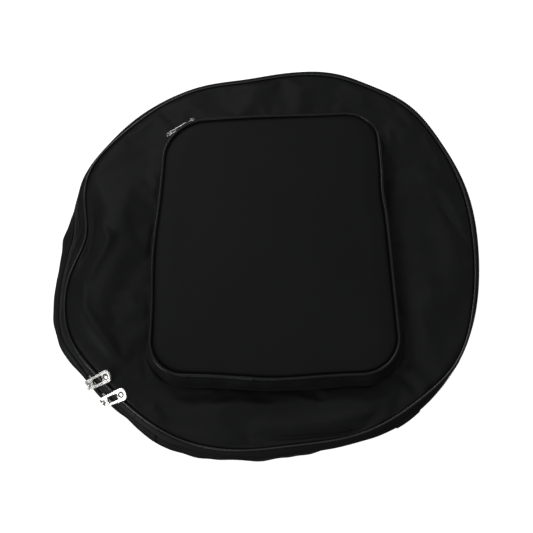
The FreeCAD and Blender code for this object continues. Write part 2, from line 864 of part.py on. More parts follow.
def tab_plate(body, length, pad_width, tail_width, thickness, skew):
    """The flat of a pull tab, wider at the pad, turned off square to its pin."""
    outline = new_sketch(body, "XY_Plane", "Outline", turned(skew))
    tail = size("tab_tail")
    corners = [
        (-tail, -(tail_width / 2)),
        (length, -(pad_width / 2)),
        (length, pad_width / 2),
        (-tail, tail_width / 2),
    ]
    pad_round = pad_width * PAD_ROUNDING
    tail_round = tail_width * TAIL_ROUNDING
    draw_rounded(outline, corners, [tail_round, pad_round, pad_round, tail_round])
    pad(body, outline, thickness, middle=True)


def pull_tab(doc, label, angle, skew):
    """A pull tab: a fork round the crown, a long window, and an oval boss on the pad."""
    body = new_body(doc, label)
    length, thick = size("tab_length"), size("tab_thickness")
    pad_width, tail_width = size("tab_pad_width"), size("tab_tail_width")
    tab_plate(body, length, pad_width, tail_width, thick, -skew)
    barrel = new_sketch(body, "XZ_Plane", "Barrel")
    draw_circle(barrel, (0, 0), size("crown_radius"))
    pad(body, barrel, size("pin_length") - TAB_END_PLAY, middle=True)
    boss = new_sketch(body, "XY_Plane", "Boss", turned(-skew))
    boss_reach = length - pad_width / 2
    draw_circle(boss, (boss_reach, 0), size("tab_boss"))
    pad(body, boss, thick + size("tab_boss_rise") * 2, middle=True)
    window = new_sketch(body, "XY_Plane", "Window", turned(-skew))
    window_end = boss_reach - size("tab_boss") - size("tab_window_land")
    window_start = window_end - size("tab_window_length")
    half = size("tab_window_width") / 2
    corners = [(window_start, -half), (window_end, -half), (window_end, half), (window_start, half)]
    draw_rounded(window, corners, [size("tab_window_corner")] * 4)
    cut(body, window, through)
    cut_fork(body, size("crown_width") / 2)
    body.Placement = main_tab_placement(angle)
    return body


def cut_fork(body, crown_half):
    """The slot that lets the crown into a pull tab, and the hole for its pin."""
    slot = new_sketch(body, "XY_Plane", "CrownSlot")
    slot_half = crown_half + CROWN_CLEARANCE
    slot_end = size("crown_radius") + CROWN_SLOT_DEPTH
    draw_box(slot, (-size("tab_tail") * 2, -slot_half), (slot_end, slot_half))
    cut(body, slot, through)
    bore = new_sketch(body, "XZ_Plane", "PinHole")
    draw_circle(bore, (0, 0), size("pin_radius") + PIN_CLEARANCE)
    cut(body, bore, through)


def frame_from(origin, along, across):
    """A placement whose local X and Y point along two square directions."""
    up = along.cross(across)
    rows = [
        (along.x, across.x, up.x, origin.x),
        (along.y, across.y, up.y, origin.y),
        (along.z, across.z, up.z, origin.z),
        (0, 0, 0, 1),
    ]
    return Placement(Matrix(*[number for row in rows for number in row]))


def main_tab_placement(angle):
    """The pull tab's pin at the crown, its length rising inwards over the piping."""
    turn = math.radians(angle)
    slope = math.radians(TAB_SLOPE)
    outward = Vector(math.cos(turn), math.sin(turn), 0)
    forward = Vector(-math.sin(turn), math.cos(turn), 0)
    along = outward * -math.cos(slope) + Vector(0, 0, math.sin(slope))
    origin = outward * crown_reach.value + Vector(0, 0, crown_level.value)
    return frame_from(origin, along, forward * -1)


pocket_plate_inside = size("pocket_plate_gap")
pocket_plate_outside = pocket_plate_inside + size("pocket_slider_plate")
pocket_crown = pocket_plate_outside + size("pocket_crown_height") - size("crown_radius")


def pocket_slider(doc):
    """The pocket zip's slider, on the top wall of the pocket."""
    body = new_body(doc, "pocket_slider")
    half = size("pocket_slider_width") / 2
    length = size("pocket_slider_length")
    blade = size("blade") / 2
    inner_face = pocket_tape_back - TAPE_CLEARANCE
    inner_back = inner_face - size("pocket_inner_plate")
    blade_low = (inner_face - RUN_IN, -blade)
    blade_high = (pocket_plate_inside + RUN_IN, blade)
    wall_box(body, "Outer", (pocket_plate_inside, -half), (pocket_plate_outside, half), length)
    wall_box(body, "Blade", blade_low, blade_high, length)
    wall_box(body, "Inner", (inner_back, -half), (inner_face, half), length)
    crown_shift = -size("pocket_crown_shift")
    half_post = size("pocket_crown_radius")
    post = new_sketch(body, "XY_Plane", "Post")
    low = (crown_shift - half_post, pocket_plate_outside - RUN_IN)
    draw_box(post, low, (crown_shift + half_post, pocket_crown))
    pad(body, post, half_post * 2, middle=True)
    for name, radius, length in (
        ("Crown", half_post, half_post * 2),
        ("Pin", size("pin_radius"), size("pocket_pin_length")),
    ):
        round_end = new_sketch(body, "XY_Plane", name)
        draw_circle(round_end, (crown_shift, pocket_crown), radius)
        pad(body, round_end, length, middle=True)
    body.Placement = pocket_slider_placement()
    return body


def pocket_slider_placement():
    """The pocket slider's rest place, at the left end of its zip."""
    place = pocket_wall_placement()
    shift = Vector(-SIZES["pocket_slider_start"], 0, 0)
    return Placement(place.Base + shift, place.Rotation)


def pocket_pull_tab(doc):
    """The pocket's pull tab, lying back round the pocket's corner."""
    body = new_body(doc, "pocket_pull_tab")
    length, width = size("pocket_tab_length"), size("pocket_tab_width")
    tail_width = size("pocket_tab_tail_width")
    tab_plate(body, length, width, tail_width, size("pocket_tab_thickness"), 0.0)
    barrel = new_sketch(body, "XZ_Plane", "Barrel")
    draw_circle(barrel, (0, 0), size("pocket_barrel_radius"))
    pad(body, barrel, size("pocket_pin_length") - TAB_END_PLAY, middle=True)
    window = new_sketch(body, "XY_Plane", "Window")
    start, end = size("pocket_window_start"), length - size("pocket_window_land")
    half = size("pocket_window_width") / 2
    corners = [(start, -half), (end, -half), (end, half), (start, half)]
    draw_rounded(window, corners, [size("pocket_window_corner")] * 4)
    cut(body, window, through)
    cut_fork(body, size("pocket_crown_radius"))
    slider = pocket_slider_placement()
    turn = math.radians(180.0 + POCKET_TAB_TURN)
    along = slider.Rotation.multVec(Vector(math.cos(turn), math.sin(turn), 0))
    across = slider.Rotation.multVec(Vector(0, 0, 1))
    origin = slider.multVec(Vector(-SIZES["pocket_crown_shift"], pocket_crown.value, 0))
    body.Placement = frame_from(origin, along, across)
    return body


# ---- the whole cover --------------------------------------------------------


def build(doc):
    """Every sub-part, in the order in which the cover is sewn together."""
    parts = [
        back_panel(doc), back_foam(doc), back_lining(doc), back_piping(doc),
        back_seam_binding(doc), rear_gusset(doc), hinge_panel(doc),
        zip_end_tab(doc, "zip_end_tab_left", 1), zip_end_tab(doc, "zip_end_tab_right", -1),
        rear_zip_tape(doc), rear_zip_coil(doc),
        front_panel_fold(doc), front_piping_fold(doc),
        front_panel(doc), front_foam(doc), front_lining(doc), front_piping(doc),
        front_seam_binding(doc), front_gusset(doc), front_zip_tape(doc), front_zip_coil(doc),
        pocket_gusset(doc), pocket_panel(doc), pocket_foam(doc), pocket_lining(doc),
        pocket_piping(doc),
    ]
    for name, side in (("upper", 1), ("lower", -1)):
        parts.append(pocket_zip_tape(doc, f"pocket_zip_tape_{name}", side))
        parts.append(pocket_zip_coil(doc, f"pocket_zip_coil_{name}", side))
    for name, side in (("left", -1), ("right", 1)):
        parts.append(pocket_zip_stop(doc, f"pocket_zip_stop_{name}", side))
    for name, angle in SLIDER_ANGLES.items():
        parts.append(zip_slider(doc, f"zip_slider_{name}", angle))
        parts.append(pull_tab(doc, f"pull_tab_{name}", angle, TAB_SKEWS[name]))
    parts.append(pocket_slider(doc))
    parts.append(pocket_pull_tab(doc))
    return parts


def check(doc, parts):
    """Stop if any object failed, any solid is missing, or any cut removed nothing."""
    for thing in doc.Objects:
        states = set(thing.State) & {"Invalid", "Error"}
        if states:
            raise RuntimeError(f"{thing.Name} is {states}")
    for part in parts:
        shape = part.Shape
        if shape.isNull() or not shape.isValid() or len(shape.Solids) != 1:
            raise RuntimeError(f"{part.Label} is not one valid solid")
        for feature in part.Group:
            if "Pocket" not in feature.TypeId and "Subtractive" not in feature.TypeId:
                continue
            if feature.Shape.Volume >= feature.BaseFeature.Shape.Volume - 1e-6:
                raise RuntimeError(f"{feature.Name} in {part.Label} cuts nothing")


def main():
    os.makedirs("parts", exist_ok=True)
    doc = FreeCAD.newDocument("TyreCover")
    fill_sheet(doc)
    parts = build(doc)
    doc.recompute()
    check(doc, parts)
    for part in parts:
        part.Shape.exportStep(f"parts/{part.Label}.step")
        box = part.Shape.BoundBox
        print(f"{part.Label:24s} {box.XMin:8.1f} {box.XMax:8.1f} {box.YMin:8.1f} {box.YMax:8.1f}"
              f" {box.ZMin:7.1f} {box.ZMax:7.1f} {part.Shape.Volume:12.1f}")


main()
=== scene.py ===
"""A round zippered spare tyre cover, lying slack on its back.

Shapes are worked out in millimetres and become metres in add_mesh(). Angles are in
degrees about +Z from +X. +Z points out of the front panel, and +Y is the pocket's top.
"""
import math

import bpy
import numpy as np
from mathutils import Matrix, Vector


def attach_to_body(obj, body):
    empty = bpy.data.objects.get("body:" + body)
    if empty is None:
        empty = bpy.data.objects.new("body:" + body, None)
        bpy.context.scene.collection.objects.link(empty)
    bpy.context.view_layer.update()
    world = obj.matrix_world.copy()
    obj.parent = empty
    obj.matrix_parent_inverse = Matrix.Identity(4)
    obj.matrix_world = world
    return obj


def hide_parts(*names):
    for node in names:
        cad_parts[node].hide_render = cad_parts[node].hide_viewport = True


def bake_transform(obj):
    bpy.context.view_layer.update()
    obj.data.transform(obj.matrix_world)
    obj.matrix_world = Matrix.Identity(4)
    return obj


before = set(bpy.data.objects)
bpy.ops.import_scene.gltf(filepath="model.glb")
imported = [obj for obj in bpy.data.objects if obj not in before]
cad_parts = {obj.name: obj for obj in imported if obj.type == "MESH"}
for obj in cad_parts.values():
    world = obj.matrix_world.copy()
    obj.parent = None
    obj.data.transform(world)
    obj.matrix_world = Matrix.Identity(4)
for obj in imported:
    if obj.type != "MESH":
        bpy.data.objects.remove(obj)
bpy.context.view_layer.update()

MM = 0.001

# ---- sizes, in millimetres --------------------------------------------------

RIM_RADIUS, RIM_HEIGHT = 270.0, 72.0
ZIP_RADIUS, ZIP_HEIGHT = 277.7, 58.0
BELLY_RADIUS, BELLY_HEIGHT = 278.0, 46.0
BACK_RADIUS = 239.0
PIPING = 1.8
POCKET_PIPING = 2.4
POCKET_FLOOR, POCKET_TOP = 73.1, 100.2
POCKET_FLARE = 6.0
FOLD_LINE = -218.4
CLOTH, FOAM_THICKNESS, LINING_THICKNESS = 1.2, 4.4, 0.6
ZIP_FROM, ZIP_TO = -52.0, 232.0  # the lid's share of the side wall
HINGE_FROM, HINGE_TO = 231.0, 309.0  # the plain stretch of side wall

# How far the slack bag strays from a true circle: (angle, spread, distance outwards).
RIM_STRAY = [(359, 22, -9), (48, 15, 10), (70, 10, 5), (96, 13, -10), (150, 10, 5),
             (172.5, 12, -24), (203, 12, 9.5), (243, 12, 3), (275, 16, -11), (324, 12, 7)]
BELLY_STRAY = [(356, 24, -11), (49, 14, 11), (70, 10, 8), (96, 12, -9), (130, 12, 3),
               (150, 9, 4), (176, 8, 2), (200, 15, 19), (221, 6, 3), (240, 9, 7), (280, 21, -16)]
ZIP_STRAY = [(356, 24, -11), (49, 13, 12), (70, 10, 9), (96, 11, -8), (130, 12, 3),
             (153, 8, 3), (175, 13, -15), (200, 7, 8), (240, 7, 5), (277, 18, -12), (303, 7, 2)]
# The same for heights: (angle, spread, distance upwards).
RIM_RISE = [(30, 20, -2), (60, 15, 1.5), (120, 25, -2), (176, 12, -3), (205, 10, 1),
            (280, 22, -3), (330, 15, 1.5)]
ZIP_RISE = [(30, 20, -2), (120, 25, -2), (175, 14, 4), (280, 22, -2)]

# Folds of the front panel: (points along the fold, half width, height).
FOLDS = [
    ([(-206, 140), (-203, 60), (-205, 10), (-216, -50), (-208, -105), (-186, -160)], 30.0, 10.0),
    ([(-228, 56), (-211, 16), (-226, -16), (-240, -46)], 7.5, 6.0),
    ([(-240, -40), (-237, -77), (-223, -103), (-205, -128), (-184, -158)], 9.0, 6.0),
    ([(-238, 84), (-233, 48), (-238, 12), (-250, -22)], 8.0, -7.0),
    ([(-213, 17), (-201, 30)], 7.0, 2.0),
    ([(-181, -42), (-175, -95)], 11.0, 3.0),
    ([(-206, -62), (-198, -104)], 10.0, -3.0),
    ([(-34, -249), (28, -246), (84, -244), (124, -240)], 4.5, -5.0),
    ([(-22, -237), (64, -231), (134, -221)], 6.5, 3.6),
    ([(-72, -254), (-30, -258), (40, -257)], 3.5, -2.6),
    ([(-146, -188), (-131, -212), (-116, -242)], 11.0, -2.2),
    ([(-156, -200), (-138, -228)], 12.0, 2.0),
    ([(-118, -212), (-44, -208), (54, -207), (140, -199)], 12.0, 4.0),
    ([(-155, 234), (-139, 211), (-120, 190)], 9.0, -1.7),
    ([(-6, 262), (-30, 220)], 13.0, 1.2),
    ([(30, 258), (8, 222)], 12.0, -0.9),
    ([(217, 74), (233, 32), (250, -6)], 5.5, -2.4),
    ([(226, 90), (244, 40), (258, 0)], 9.0, 1.4),
    ([(204, 110), (214, 50)], 9.0, 1.5),
    ([(144, -168), (158, -185), (177, -204)], 5.0, -3.2),
    ([(158, -164), (175, -184), (190, -200)], 8.0, 2.4),
    ([(196, -40), (192, -110)], 16.0, 2.2),
    ([(196, 150), (170, 188)], 16.0, 1.8),
]


def bumps(angle, table):
    """The sum of smooth bumps round the bag at an angle in degrees."""
    total = np.zeros_like(np.asarray(angle, float))
    for centre, spread, height in table:
        off = (angle - centre + 180.0) % 360.0 - 180.0
        total = total + height * np.exp(-((off / spread) ** 2))
    return total


def smoothstep(low, high, value):
    """0 up to low, 1 from high on, and a smooth step between."""
    t = np.clip((value - low) / (high - low), 0.0, 1.0)
    return t * t * (3.0 - 2.0 * t)


def waves(angle, seed, terms=(7, 11, 17, 26)):
    """A gentle irregular ripple round the bag, between about -1 and 1."""
    turn = np.radians(angle)
    ripple = sum(np.sin(n * turn + seed * 1.7 * (k + 1)) / (k + 1.4) for k, n in enumerate(terms))
    return ripple * 0.6


def polar(radius, angle, height):
    """Points (..., 3) from radius, angle in degrees, and height."""
    turn = np.radians(angle)
    shape = np.broadcast(radius, turn, height).shape
    flat = [radius * np.cos(turn), radius * np.sin(turn), height]
    return np.stack([np.broadcast_to(part, shape) for part in flat], axis=-1).astype(float)


def unit(vectors):
    """The same directions with length 1."""
    return vectors / np.maximum(np.linalg.norm(vectors, axis=-1, keepdims=True), 1e-9)


def travelled(line):
    """How far each point of a line is from its start, along the line."""
    steps = np.linalg.norm(np.diff(line, axis=0), axis=1)
    return np.concatenate([[0.0], np.cumsum(steps)])


def resampled(at, travel, line):
    """Points of a line at distances along it. travel is the line's own travelled()."""
    return np.stack([np.interp(at, travel, line[:, a]) for a in range(line.shape[1])], axis=1)


# ---- mesh helpers -----------------------------------------------------------


def add_mesh(name, points, faces, material, smooth=True):
    """A mesh object from points in millimetres."""
    data = bpy.data.meshes.new(name)
    data.from_pydata([tuple(p) for p in np.asarray(points, float) * MM], [], faces)
    data.update()
    obj = bpy.data.objects.new(name, data)
    bpy.context.scene.collection.objects.link(obj)
    data.materials.append(material)
    if smooth:
        data.polygons.foreach_set("use_smooth", [True] * len(data.polygons))
    return obj


def bake(obj):
    """Applies the object's modifiers."""
    bpy.context.view_layer.update()
    graph = bpy.context.evaluated_depsgraph_get()
    final = bpy.data.meshes.new_from_object(obj.evaluated_get(graph))
    old = obj.data
    obj.modifiers.clear()
    obj.data = final
    bpy.data.meshes.remove(old)
    final.name = obj.name
    return obj


def thicken(obj, thickness):
    """Turns a single layer into cloth of that thickness, in millimetres."""
    layer = obj.modifiers.new("thickness", "SOLIDIFY")
    layer.thickness = thickness * MM
    layer.offset = 0.0
    return bake(obj)


def grid_faces(rows, columns, closed):
    """Quads of a grid of points, whose rows are closed rings or open."""
    faces = []
    for i in range(rows - 1):
        for j in range(columns if closed else columns - 1):
            k = (j + 1) % columns
            low, high = i * columns, (i + 1) * columns
            faces.append((low + j, low + k, high + k, high + j))
    return faces


def kept_faces(points, faces, keep):
    """The faces whose centres pass keep(x, y, z), with the points that they use."""
    if keep is None:
        return points, faces
    faces = [f for f in faces if keep(*points[list(f)].mean(axis=0))]
    used = sorted({i for f in faces for i in f})
    place = {old: new for new, old in enumerate(used)}
    return points[used], [tuple(place[i] for i in f) for f in faces]


def sheet_mesh(name, rows, closed, material, thickness, keep=None):
    """Cloth through a grid of points (rows, columns, 3). keep(x, y, z) picks its faces."""
    rows = np.asarray(rows, float)
    faces = grid_faces(rows.shape[0], rows.shape[1], closed)
    points, faces = kept_faces(rows.reshape(-1, 3), faces, keep)
    return thicken(add_mesh(name, points, faces, material), thickness)


def capped_mesh(name, rows, material, thickness, keep=None):
    """A disc of cloth: closed rings from the innermost outwards, with a fan at the centre.

    Without a thickness it stays a single layer.
    """
    rows = np.asarray(rows, float)
    columns = rows.shape[1]
    points = np.vstack([rows.reshape(-1, 3), rows[0].mean(axis=0, keepdims=True)])
    faces = grid_faces(rows.shape[0], columns, True)
    faces += [((j + 1) % columns, j, len(points) - 1) for j in range(columns)]
    points, faces = kept_faces(points, faces, keep)
    obj = add_mesh(name, points, faces, material)
    return thicken(obj, thickness) if thickness else obj


def tube_data(points, radius, across, closed, sides):
    """Points and faces of a tube along a line. across points sideways out of the line."""
    points = np.asarray(points, float)
    if closed:
        along = np.roll(points, -1, axis=0) - np.roll(points, 1, axis=0)
    else:
        along = np.gradient(points, axis=0)
    along = unit(along)
    across = unit(across - along * np.sum(across * along, axis=-1, keepdims=True))
    other = np.cross(along, across)
    rings = []
    for k in range(sides):
        turn = 2 * math.pi * k / sides
        rings.append(points + radius * (math.cos(turn) * across + math.sin(turn) * other))
    skin = np.stack(rings, axis=1).reshape(-1, 3)
    faces = grid_faces(len(points), sides, True)
    last, cap = len(skin) - sides, len(skin)
    for k in range(sides):
        m = (k + 1) % sides
        if closed:
            faces.append((last + k, last + m, m, k))
        else:
            faces += [(m, k, cap), (last + k, last + m, cap + 1)]
    return skin if closed else np.vstack([skin, points[0], points[-1]]), faces


def tube(name, points, radius, across, closed, material, sides):
    return add_mesh(name, *tube_data(points, radius, across, closed, sides), material)


def piping_tube(name, points, radius, material, sides, closed=True):
    """Piping along a line that runs nearly level."""
    upwards = np.tile([0.0, 0.0, 1.0], (len(points), 1))
    return tube(name, points, radius, upwards, closed, material, sides)


def join(name, parts):
    """One piece from several meshes."""
    bpy.ops.object.select_all(action="DESELECT")
    for part in parts:
        part.select_set(True)
    bpy.context.view_layer.objects.active = parts[0]
    bpy.ops.object.join()
    parts[0].name = name
    parts[0].data.name = name
    return parts[0]


def attach(piece, slot, body, *nodes):
    """Hangs a piece on the body it rides on, and hides the CAD nodes it stands for. slot, what the
    piece is made of, is not used.
    """
    if nodes:
        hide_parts(*nodes)
    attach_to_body(piece, body)
    return piece


def make_padding(name, body, foam_rows, foam_thickness, lining_rows, keep=None):
    """The padding and the lining under a panel, by the panel's name. Returns the lining."""
    foam = capped_mesh(f"{name}_foam_pad", foam_rows, FOAM, foam_thickness, keep)
    lining = capped_mesh(f"{name}_lining_cloth", lining_rows, LINING, LINING_THICKNESS, keep)
    attach(foam, "padding", body, f"{name}_foam")
    attach(lining, "lining", body, f"{name}_lining")
    return lining


# A stitch as rings: (place along it, thickness, height off the cloth), as shares.
STITCH_RINGS = [(-0.5, 0.15, -0.3), (-0.42, 0.8, 0.1), (0.0, 1.0, 0.35), (0.42, 0.8, 0.1),
                (0.5, 0.15, -0.3)]
STITCH_SHARE = 0.62  # a stitch's share of the pitch
STITCH_SIDES = ((1, 0), (0, 1), (-1, 0), (0, -1))


def stitches(name, line, out, pitch, radius):
    """A row of stitches along a line of points, lying on a surface whose normal is out."""
    line = np.asarray(line, float)
    out = np.broadcast_to(np.asarray(out, float), line.shape)
    travel = travelled(line)
    middles = (np.arange(max(2, int(travel[-1] / pitch))) + 0.5) * pitch
    half = 0.5 * pitch * STITCH_SHARE
    centres = resampled(middles, travel, line)
    lengths = resampled(middles + half, travel, line) - resampled(middles - half, travel, line)
    normals = unit(resampled(middles, travel, out))
    points, faces = [], []
    for middle, along, normal in zip(centres, lengths, normals):
        side = unit(np.cross(unit(along), normal))
        base = len(points)
        for reach, size, lift in STITCH_RINGS:
            centre = middle + along * reach + normal * lift * radius
            points += [centre + radius * size * (side * c + normal * s) for c, s in STITCH_SIDES]
        faces += [tuple(base + i for i in f) for f in grid_faces(len(STITCH_RINGS), 4, True)]
    return add_mesh(name, points, faces, THREAD)


def rounded(corners, radii, steps=7):
    """A closed outline with rounded corners."""
    corners = [np.array(c, float) for c in corners]
    loop = []
    for i, corner in enumerate(corners):
        before = unit(corners[i - 1] - corner)
        after = unit(corners[(i + 1) % len(corners)] - corner)
        half = math.acos(np.clip(np.dot(before, after), -1, 1)) / 2
        reach = radii[i] / math.tan(half)
        centre = corner + unit(before + after) * (radii[i] / math.sin(half))
        start, end = corner + before * reach - centre, corner + after * reach - centre
        first = math.atan2(start[1], start[0])
        sweep = (math.atan2(end[1], end[0]) - first + math.pi) % (2 * math.pi) - math.pi
        for k in range(steps + 1):
            turn = first + sweep * k / steps
            loop.append(centre + radii[i] * np.array([math.cos(turn), math.sin(turn)]))
    return np.array(loop)


def inset(loop, distance):
    """An outline moved inwards, for a counterclockwise loop."""
    along = unit(np.roll(loop, -1, axis=0) - np.roll(loop, 1, axis=0))
    return loop + distance * np.stack([-along[:, 1], along[:, 0]], axis=1)


def oblong(left, right, low, high, radii):
    """A rectangle with rounded corners, counterclockwise from its lower left."""
    return rounded([(left, low), (right, low), (right, high), (left, high)], radii)


def plate(name, loops, middle, thickness, bevel, place):
    """A flat plate with holes and softened edges. middle is its height in the local frame."""
    curve = bpy.data.curves.new(name, "CURVE")
    curve.dimensions = "2D"
    curve.fill_mode = "BOTH"
    curve.extrude = (thickness / 2 - bevel) * MM
    curve.bevel_depth = bevel * MM
    curve.bevel_resolution = 2
    curve.offset = -bevel * MM
    for loop in loops:
        line = curve.splines.new("POLY")
        line.points.add(len(loop) - 1)
        for point, (x, y) in zip(line.points, loop):
            point.co = (x * MM, y * MM, 0.0, 1.0)
        line.use_cyclic_u = True
    holder = bpy.data.objects.new(name, curve)
    bpy.context.scene.collection.objects.link(holder)
    bpy.context.view_layer.update()
    graph = bpy.context.evaluated_depsgraph_get()
    data = bpy.data.meshes.new_from_object(holder.evaluated_get(graph))
    bpy.data.objects.remove(holder)
    bpy.data.curves.remove(curve)
    data.transform(place @ Matrix.Translation((0, 0, middle * MM)))
    data.materials.clear()
    data.materials.append(NICKEL)
    obj = bpy.data.objects.new(name, data)
    bpy.context.scene.collection.objects.link(obj)
    merge = obj.modifiers.new("merge", "WELD")
    merge.merge_threshold = 0.02 * MM
    return bake(obj)


def dome(centre, radii, height, place, rings=5, sides=20):
    """A low oval boss that rises from the local plane."""
    oval = polar(1.0, np.arange(sides) * 360.0 / sides, 0.0) * (*radii, 0)
    turns = np.arange(rings + 1) * math.pi / 2 / rings
    rows = [centre + oval * math.cos(turn) + (0, 0, height * math.sin(turn)) for turn in turns]
    points = np.vstack(rows[:-1] + [rows[-1].mean(axis=0)])
    faces = grid_faces(rings, sides, True)
    top = (rings - 1) * sides
    faces += [(top + k, top + (k + 1) % sides, rings * sides) for k in range(sides)]
    obj = add_mesh("boss", points, faces, NICKEL)
    obj.data.transform(place)
    return obj


def frame_at(origin, x_axis, y_axis):
    """A placement in metres whose local X and Y point along two square directions."""
    x_axis, y_axis = Vector(x_axis).normalized(), Vector(y_axis).normalized()
    place = Matrix((x_axis, y_axis, x_axis.cross(y_axis))).transposed().to_4x4()
    place.translation = Vector(origin) * MM
    return place


CLOTH_STIFFNESS = {"tension_stiffness": 20, "compression_stiffness": 20,
                   "shear_stiffness": 8, "bending_stiffness": 8}


def settle(obj, pinned, growth, pressure, frames, cap):
    """Lets cloth wrinkle by simulation from the shape it has.

    growth is the cloth's extra size as a share, and no point moves further than cap.
    """
    count = len(obj.data.vertices)
    start = np.empty(count * 3)
    obj.data.vertices.foreach_get("co", start)
    group = obj.vertex_groups.new(name="pinned")
    group.add([int(i) for i in pinned], 1.0, "REPLACE")
    cloth = obj.modifiers.new("settle", "CLOTH")
    for key, value in CLOTH_STIFFNESS.items():
        setattr(cloth.settings, key, value)
    cloth.settings.quality = 6
    cloth.settings.mass = 0.2
    cloth.settings.vertex_group_mass = "pinned"
    cloth.settings.shrink_min = -growth
    cloth.settings.use_pressure = True
    cloth.settings.uniform_pressure_force = pressure
    cloth.settings.effector_weights.gravity = 0
    cloth.collision_settings.use_collision = False
    cloth.point_cache.frame_start = 1
    cloth.point_cache.frame_end = frames
    scene = bpy.context.scene
    for step in range(1, frames + 1):
        scene.frame_set(step)
    graph = bpy.context.evaluated_depsgraph_get()
    final = np.empty(count * 3)
    obj.evaluated_get(graph).data.vertices.foreach_get("co", final)
    moved = (final - start).reshape(-1, 3)
    size = np.linalg.norm(moved, axis=1, keepdims=True)
    moved *= np.minimum(1.0, cap * MM / np.maximum(size, 1e-9))
    obj.modifiers.remove(cloth)
    obj.vertex_groups.clear()
    obj.data.vertices.foreach_set("co", start + moved.reshape(-1))
    scene.frame_set(1)
    print(f"{obj.name} settled by {min(size.max() / MM, cap):.1f} mm at most")


# ---- materials --------------------------------------------------------------


def material(name):
    made = bpy.data.materials.new(name)
    made.use_nodes = True
    tree = made.node_tree
    return made, tree, tree.nodes["Principled BSDF"]


def node(tree, kind, inputs=None, **settings):
    made = tree.nodes.new(kind)
    for key, value in settings.items():
        setattr(made, key, value)
    for key, value in (inputs or {}).items():
        made.inputs[key].default_value = value
    return made


def object_place(tree):
    return node(tree, "ShaderNodeTexCoord").outputs["Object"]


def noise(tree, place, scale, detail, **more):
    made = node(tree, "ShaderNodeTexNoise", {"Scale": scale, "Detail": detail, **more})
    tree.links.new(place, made.inputs["Vector"])
    return made.outputs["Fac"]


def tinted(tree, source, dark, light, start=0.0, end=1.0):
    """A colour that goes from dark to light as source goes from start to end."""
    ramp = node(tree, "ShaderNodeValToRGB")
    for element, at, colour in zip(ramp.color_ramp.elements, (start, end), (dark, light)):
        element.position = at
        element.color = (*colour, 1)
    tree.links.new(source, ramp.inputs["Fac"])
    return ramp.outputs["Color"]


def graded(tree, source, low, high):
    """A number that goes from low to high as source goes from 0 to 1."""
    made = node(tree, "ShaderNodeMapRange", {"To Min": low, "To Max": high})
    tree.links.new(source, made.inputs["Value"])
    return made.outputs["Result"]


def bumped(tree, height, strength, distance, under=None):
    """A normal with bumps of a height in metres, on top of another one."""
    made = node(tree, "ShaderNodeBump", {"Strength": strength, "Distance": distance})
    tree.links.new(height, made.inputs["Height"])
    if under is not None:
        tree.links.new(under, made.inputs["Normal"])
    return made.outputs["Normal"]


def wire_up(tree, shader, colour, roughness, normal):
    """Drives the shader's main sockets with outputs of other nodes."""
    tree.links.new(colour, shader.inputs["Base Color"])
    tree.links.new(roughness, shader.inputs["Roughness"])
    tree.links.new(normal, shader.inputs["Normal"])


def woven(name, dark, light, roughness, pitch, weave, mottle, sheen, specular=0.5):
    """Woven cloth: crossing threads, a soft mottling of colour and gloss, a light sheen.

    pitch is the threads' spacing in millimetres. weave and mottle are bump strengths.
    """
    made, tree, shader = material(name)
    place = object_place(tree)
    cross = node(tree, "ShaderNodeMath", operation="MULTIPLY")
    for n, direction in enumerate(("X", "Y")):
        bands = {"Scale": 2 * math.pi / (20 * pitch * MM), "Distortion": 0.6, "Detail": 1.0}
        wave = node(tree, "ShaderNodeTexWave", bands, wave_type="BANDS", bands_direction=direction)
        tree.links.new(place, wave.inputs["Vector"])
        tree.links.new(wave.outputs["Fac"], cross.inputs[n])
    grain = noise(tree, place, 900.0, 2.0)
    patch = noise(tree, place, 26.0, 4.0, Roughness=0.6)
    fine = bumped(tree, cross.outputs[0], weave, 0.0002)
    middling = bumped(tree, grain, weave * 0.5, 0.0002, fine)
    broad = bumped(tree, patch, mottle, 0.003, middling)
    colour = tinted(tree, patch, dark, light, 0.3, 0.75)
    wire_up(tree, shader, colour, graded(tree, patch, roughness - 0.06, roughness + 0.08), broad)
    shader.inputs["Specular IOR Level"].default_value = specular
    shader.inputs["Sheen Weight"].default_value = sheen
    shader.inputs["Sheen Roughness"].default_value = 0.4
    return made


def coil_plastic(name):
    """Moulded nylon of the zip's coils. Its grey is partly its own colour and partly painted light,
    made lighter all over to stand in for the light from the left on the coils.
    """
    made, tree, shader = material(name)
    wear = noise(tree, object_place(tree), 300.0, 2.0)
    colour = tinted(tree, wear, (0.045, 0.045, 0.049), (0.080, 0.080, 0.086))
    tree.links.new(colour, shader.inputs["Base Color"])
    shader.inputs["Roughness"].default_value = 0.38
    return made


def nickel_plate(name):
    """Polished nickel with fine rub marks."""
    made, tree, shader = material(name)
    rub = noise(tree, object_place(tree), 700.0, 3.0, Distortion=0.4)
    colour = tinted(tree, rub, (0.70, 0.69, 0.67), (0.82, 0.81, 0.79))
    wire_up(tree, shader, colour, graded(tree, rub, 0.16, 0.34), bumped(tree, rub, 0.08, 0.0003))
    shader.inputs["Metallic"].default_value = 1.0
    return made


BLUE_OVER_RED = 1.06


def grey(value):
    """A slightly cool grey."""
    return (value, value * (1 + BLUE_OVER_RED) / 2, value * BLUE_OVER_RED)


